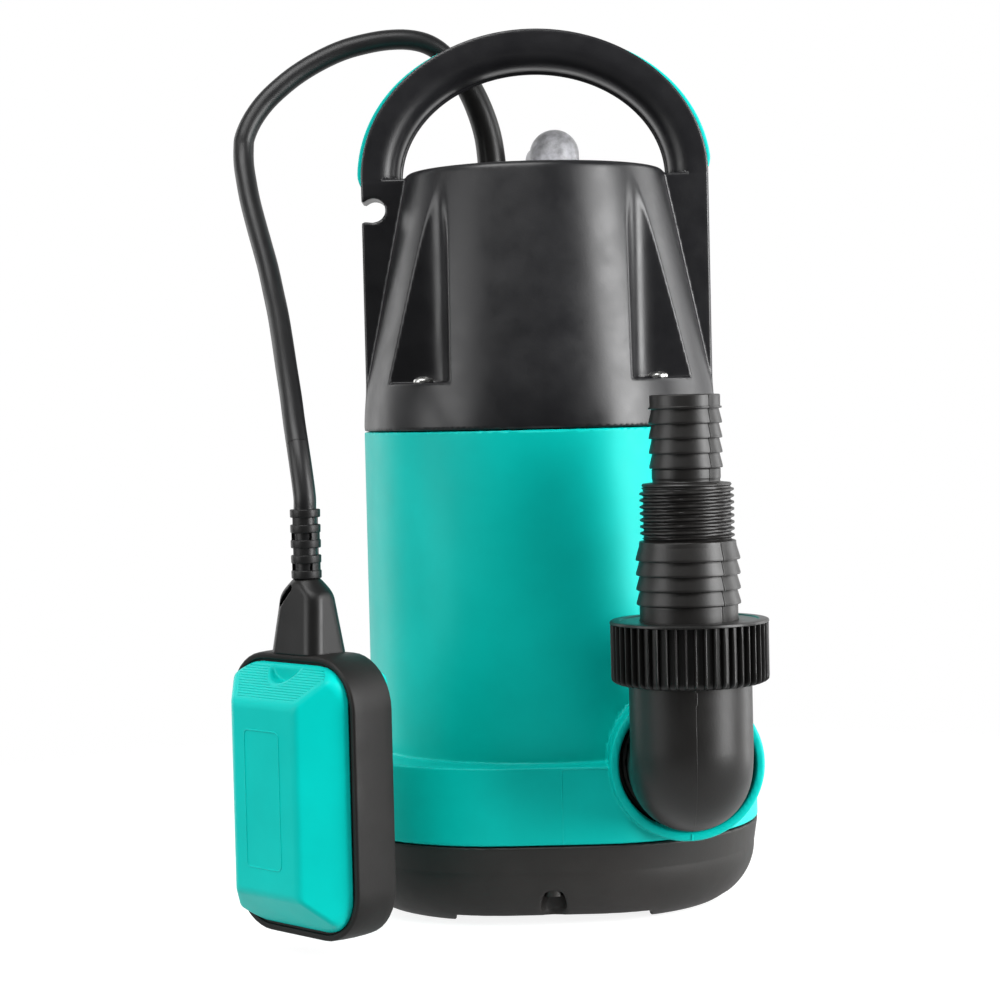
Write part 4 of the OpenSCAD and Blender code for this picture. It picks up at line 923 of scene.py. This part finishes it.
# The middle of the float's cord from its gland to the float, and of the gland's sleeve
SLEEVE = [(-16.3, 25, 284), (-16.7, 25, 291), (-17.8, 25, 299), (-20, 24.5, 307),
          (-23.2, 23.5, 315), (-27.2, 22, 322), (-32, 20.5, 328.2)]
ROUTE = [(-32, 20.5, 328.2), (-36.5, 19.5, 332.6), (-42, 18.4, 335.6), (-49, 17.6, 337),
         (-57, 17, 336.9), (-65, 16, 335.6), (-74, 15, 333.2), (-83, 13.5, 329.2),
         (-92, 11.6, 323.8), (-99.5, 9.6, 317.8), (-105.5, 8, 311.8), (-110.2, 6, 305),
         (-113, 4, 298.4), (-113.5, 3, 294), (-113.3, 0.4, 287.5), (-112, -4, 280),
         (-110.2, -9.5, 272), (-107.6, -16, 263), (-104.8, -23, 254), (-102, -30.5, 245),
         (-99.4, -39, 235), (-97, -48, 226), (-94.8, -58, 216), (-92.8, -68, 206.5),
         (-90.6, -78, 196), (-89, -86, 187), (-87.4, -92.6, 178.5), (-86, -97, 170),
         (-84.8, -100, 160.8), (-84.8, -100, 156.6)]
CORD_R, CORD_SPLIT, CORD_LOW = 4.0, 178.5, 98.0
FLOAT_X, FLOAT_Y = -84.8, -100.0


def cord_piece(name, line, caps, nodes):
    """One piece of the cord, a tube along the given line."""
    v, f = tube(line, CORD_R, 24, caps)
    ob = put(name, v, f, SHEATH, None, nodes)
    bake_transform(ob)


def make_cord():
    """The float's cord in two pieces: one from the gland over the bow, the other down into the
    float.
    """
    whole = smooth_line(ROUTE, 4)
    split = int((whole[:, 2] > CORD_SPLIT).sum())
    cord_piece("float_cord", whole[:split + 1], (True, False),
               ("float_cord_upper", "float_cord_lower"))
    down = np.arange(whole[-1, 2], CORD_LOW, -2.0)
    rest = np.vstack((whole[split:-1], [(FLOAT_X, FLOAT_Y, z) for z in down]))
    cord_piece("float_cord_end", rest, (False, True), ("float_cord_tail",))


def make_relief():
    """Ribbed strain relief: flat ribs joined by short bridges that change sides at each gap."""
    ribs, low, pitch = 5, -24.6, 5.35
    rib = turned(rounded([(4.1, 0), (5.3, 0, 0.4), (5.35, 2.9, 0.4), (4.1, 2.9)], 4), 48)
    arc = np.radians(np.linspace(-34, 34, 9))
    parts = []
    for i in range(ribs):
        z = low + i * pitch
        parts.append(moved(rib, (0, 0, z)))
        if i == ribs - 1:
            continue
        for side in (0, 180):
            bridge = [np.concatenate((circle(5.0, end, arc), circle(4.1, end, arc[::-1])))
                      for end in (z + 2.0, z + pitch + 0.2)]
            turn = about_z(side + (90 if i % 2 else 0) + 20)
            parts.append(moved(rings_mesh(bridge), turn=turn))
    v, f = joined(parts)
    ob = put("relief_ribs", to_world(v), f, RUBBER, None, ("strain_relief",),
             crease=40)
    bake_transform(ob)


def make_sleeve():
    """The cord's gland in the cap: a stepped foot and a sleeve that bends with the cord."""
    line = smooth_line(SLEEVE, 5)
    n = len(line)
    radius = np.interp(np.arange(n), [0, n * 0.5, n - 4, n - 2, n - 1],
                       [5.75, 5.35, 5.0, 4.85, 4.35])
    foot = turned(rounded([(0.01, 0), (9.0, 0), (9.0, 1.2, 0.7), (7.4, 2.2, 0.8),
                           (6.2, 4.2, 1.5), (5.6, 7.0), (0.01, 7.0)], 4), 48)
    v, f = joined([tube(line, radius, 32), moved(foot, (-16.3, 25, 281.3))])
    put("cord_sleeve", v, f, BLACK_SATIN, "housing", ("float_cord_gland",),
        crease=45)


GLAND_AT, GLAND_TURN = (8.7, 26.0, 291.0), math.radians(15)
DOME_R, MOUTH_R, MOUTH_LONG, MAINS_R = 9.9, 7.5, 24, 4.0


def gland_field(x, y, z):
    """Mains gland: a domed collar with a tapered mouth turned to the back."""
    lx, ly, lz = x - GLAND_AT[0], y - GLAND_AT[1], z - GLAND_AT[2]
    dome = np.sqrt(lx ** 2 + ly ** 2 + np.maximum(lz, 0) ** 2) - DOME_R
    c, s = math.cos(GLAND_TURN), math.sin(GLAND_TURN)
    along = -lx * s + ly * c
    off = np.hypot(lx * c + ly * s, lz)
    half = MOUTH_LONG / 2
    mouth = smax((off - MOUTH_R + along * 0.083), np.abs(along - half) - half, 1.0)
    skirt = smax(np.hypot(lx, ly) - 10.8, z - 283.4, 0.8)
    out = smin(smin(dome, mouth, 3.0), skirt, 1.2)
    out = smax(out, 281.2 - z, 0.4)
    return smax(out, -smax(off - MAINS_R, 4.0 - along, 0.8), 0.8)


def make_gland():
    grid = even_grid(0.7, (-16, 22), (13, 54), (280, 303))
    v, f, n = surface(gland_field, grid, 0.1)
    # Its grey colour is painted reflection.
    put("mains_boot", v, f, GLAND_PAINTED_SHEEN, "housing", ("mains_gland",), n)


SCREW_AT, SCREW_Z = 62, 200.05


def screw_field(x, y, z):
    """A pan head with a cross recess."""
    a, b, r = np.abs(x), np.abs(y), np.hypot(x, y)
    dome = np.sqrt(r ** 2 + (z + 4.2) ** 2) - 6.6
    body = smax(smax(r - 3.8, dome, 0.5), -z, 0.2)
    cross = np.minimum(np.maximum(a - 0.5, b - 2.0), np.maximum(b - 0.5, a - 2.0))
    return smax(body, -smax(cross, 1.0 - z + r * 0.3, 0.2), 0.25)


def make_screws():
    """The screw heads in the cap's four pockets, each turned a little differently."""
    grid = even_grid(0.2, (-4.2, 4.2), (-4.2, 4.2), (-0.4, 3.2))
    v, f, n = surface(screw_field, grid, 0.05)
    parts, normals = [], []
    for k, spin in enumerate((12, -20, 33, 5)):
        a = math.radians(45 + 90 * k)
        turn = about_z(spin)
        at = (SCREW_AT * math.cos(a), SCREW_AT * math.sin(a), SCREW_Z)
        parts.append(moved((v, f), at, turn))
        normals.append(n @ turn.T)
    v, f = joined(parts)
    put("cap_screw_heads", v, f, ZINC, "housing", ("cap_screws",),
        np.concatenate(normals))


for make in (make_cord, make_sleeve, make_gland, make_housing, make_base, make_cap, make_grip,
             make_elbow, make_nut, make_connector, make_shells, make_rim, make_neck,
             make_relief, make_screws):
    make()

# ---------------------------------------------------------------- studio


def make_floor():
    """A pale round floor that fades out into the background."""
    angles = np.linspace(0, TAU, 96, endpoint=False)
    v, f = rings_mesh([circle(r, -0.05, angles) for r in (1, 120, 300, 520)],
                      caps=(True, False))
    mesh = bpy.data.meshes.new("floor")
    mesh.from_pydata((v * MM).tolist(), [], f)
    n = Nodes("floor")
    n.set(Base_Color=(0.3, 0.3, 0.3, 1), Roughness=0.6, Specular_IOR_Level=0.2,
          Emission_Color=(1, 1, 1, 1))
    # brighter to the camera than to the pump, so that it lights the pump less from below
    seen = n.add("LightPath").outputs["Is Camera Ray"]
    n.feed(n.ramp(seen, 0, 1, 0.46, 0.86), "Emission Strength")
    distance = n.add("VectorMath", operation="LENGTH")
    n.link(n.place, distance.inputs[0])
    mix = n.add("MixShader")
    n.link(n.ramp(distance.outputs["Value"], 0.09, 0.48, 0, 1), mix.inputs[0])
    n.link(n.shader.outputs[0], mix.inputs[1])
    n.link(n.add("BsdfTransparent").outputs[0], mix.inputs[2])
    out = next(k for k in n.tree.nodes if k.type == "OUTPUT_MATERIAL")
    n.link(mix.outputs[0], out.inputs["Surface"])
    mesh.materials.append(n.mat)
    new_object("floor", mesh)


def area_light(name, at, aim, size, power):
    """A rectangular light. Places and sizes are in millimetres."""
    data = bpy.data.lights.new(name, "AREA")
    data.shape, data.energy = "RECTANGLE", power
    data.size, data.size_y = size[0] * MM, size[1] * MM
    ob = new_object(name, data)
    ob.location = Vector(at) * MM
    ob.rotation_euler = (Vector(aim) - Vector(at)).to_track_quat("-Z", "Y").to_euler()


def make_world():
    """White to the camera. To the pump, a bright backdrop behind it and a dark room in front."""
    world = bpy.data.worlds.new("studio")
    bpy.context.scene.world = world
    world.use_nodes = True
    nodes, link = world.node_tree.nodes, world.node_tree.links.new
    nodes.clear()
    seen, place = nodes.new("ShaderNodeLightPath"), nodes.new("ShaderNodeTexCoord")
    back, fill = nodes.new("ShaderNodeBackground"), nodes.new("ShaderNodeBackground")
    for shade in (back, fill):
        shade.inputs["Color"].default_value = (1, 1, 1, 1)
    back.inputs["Strength"].default_value = 1.0
    parts, level = nodes.new("ShaderNodeSeparateXYZ"), nodes.new("ShaderNodeMapRange")
    for key, value in zip(("From Min", "From Max", "To Min", "To Max"), (0.1, 0.8, 0.06, 0.9)):
        level.inputs[key].default_value = value
    link(place.outputs["Generated"], parts.inputs[0])
    link(parts.outputs["Y"], level.inputs["Value"])
    link(level.outputs["Result"], fill.inputs["Strength"])
    mix, out = nodes.new("ShaderNodeMixShader"), nodes.new("ShaderNodeOutputWorld")
    link(seen.outputs["Is Camera Ray"], mix.inputs[0])
    link(fill.outputs[0], mix.inputs[1])
    link(back.outputs[0], mix.inputs[2])
    link(mix.outputs[0], out.inputs[0])


make_floor()
make_world()
area_light("key_right", (720, -450, 330), (20, 0, 170), (360, 760), 14.0)
area_light("left_back", (-640, 420, 300), (0, 0, 170), (240, 800), 1.2)
area_light("right_strip", (620, 200, 240), (0, 0, 160), (260, 800), 3.0)
area_light("front_top", (-300, -480, 1050), (-20, 0, 130), (800, 500), 9.5)
area_light("front_left", (-860, -420, 340), (-60, 0, 120), (560, 560), 4.4)
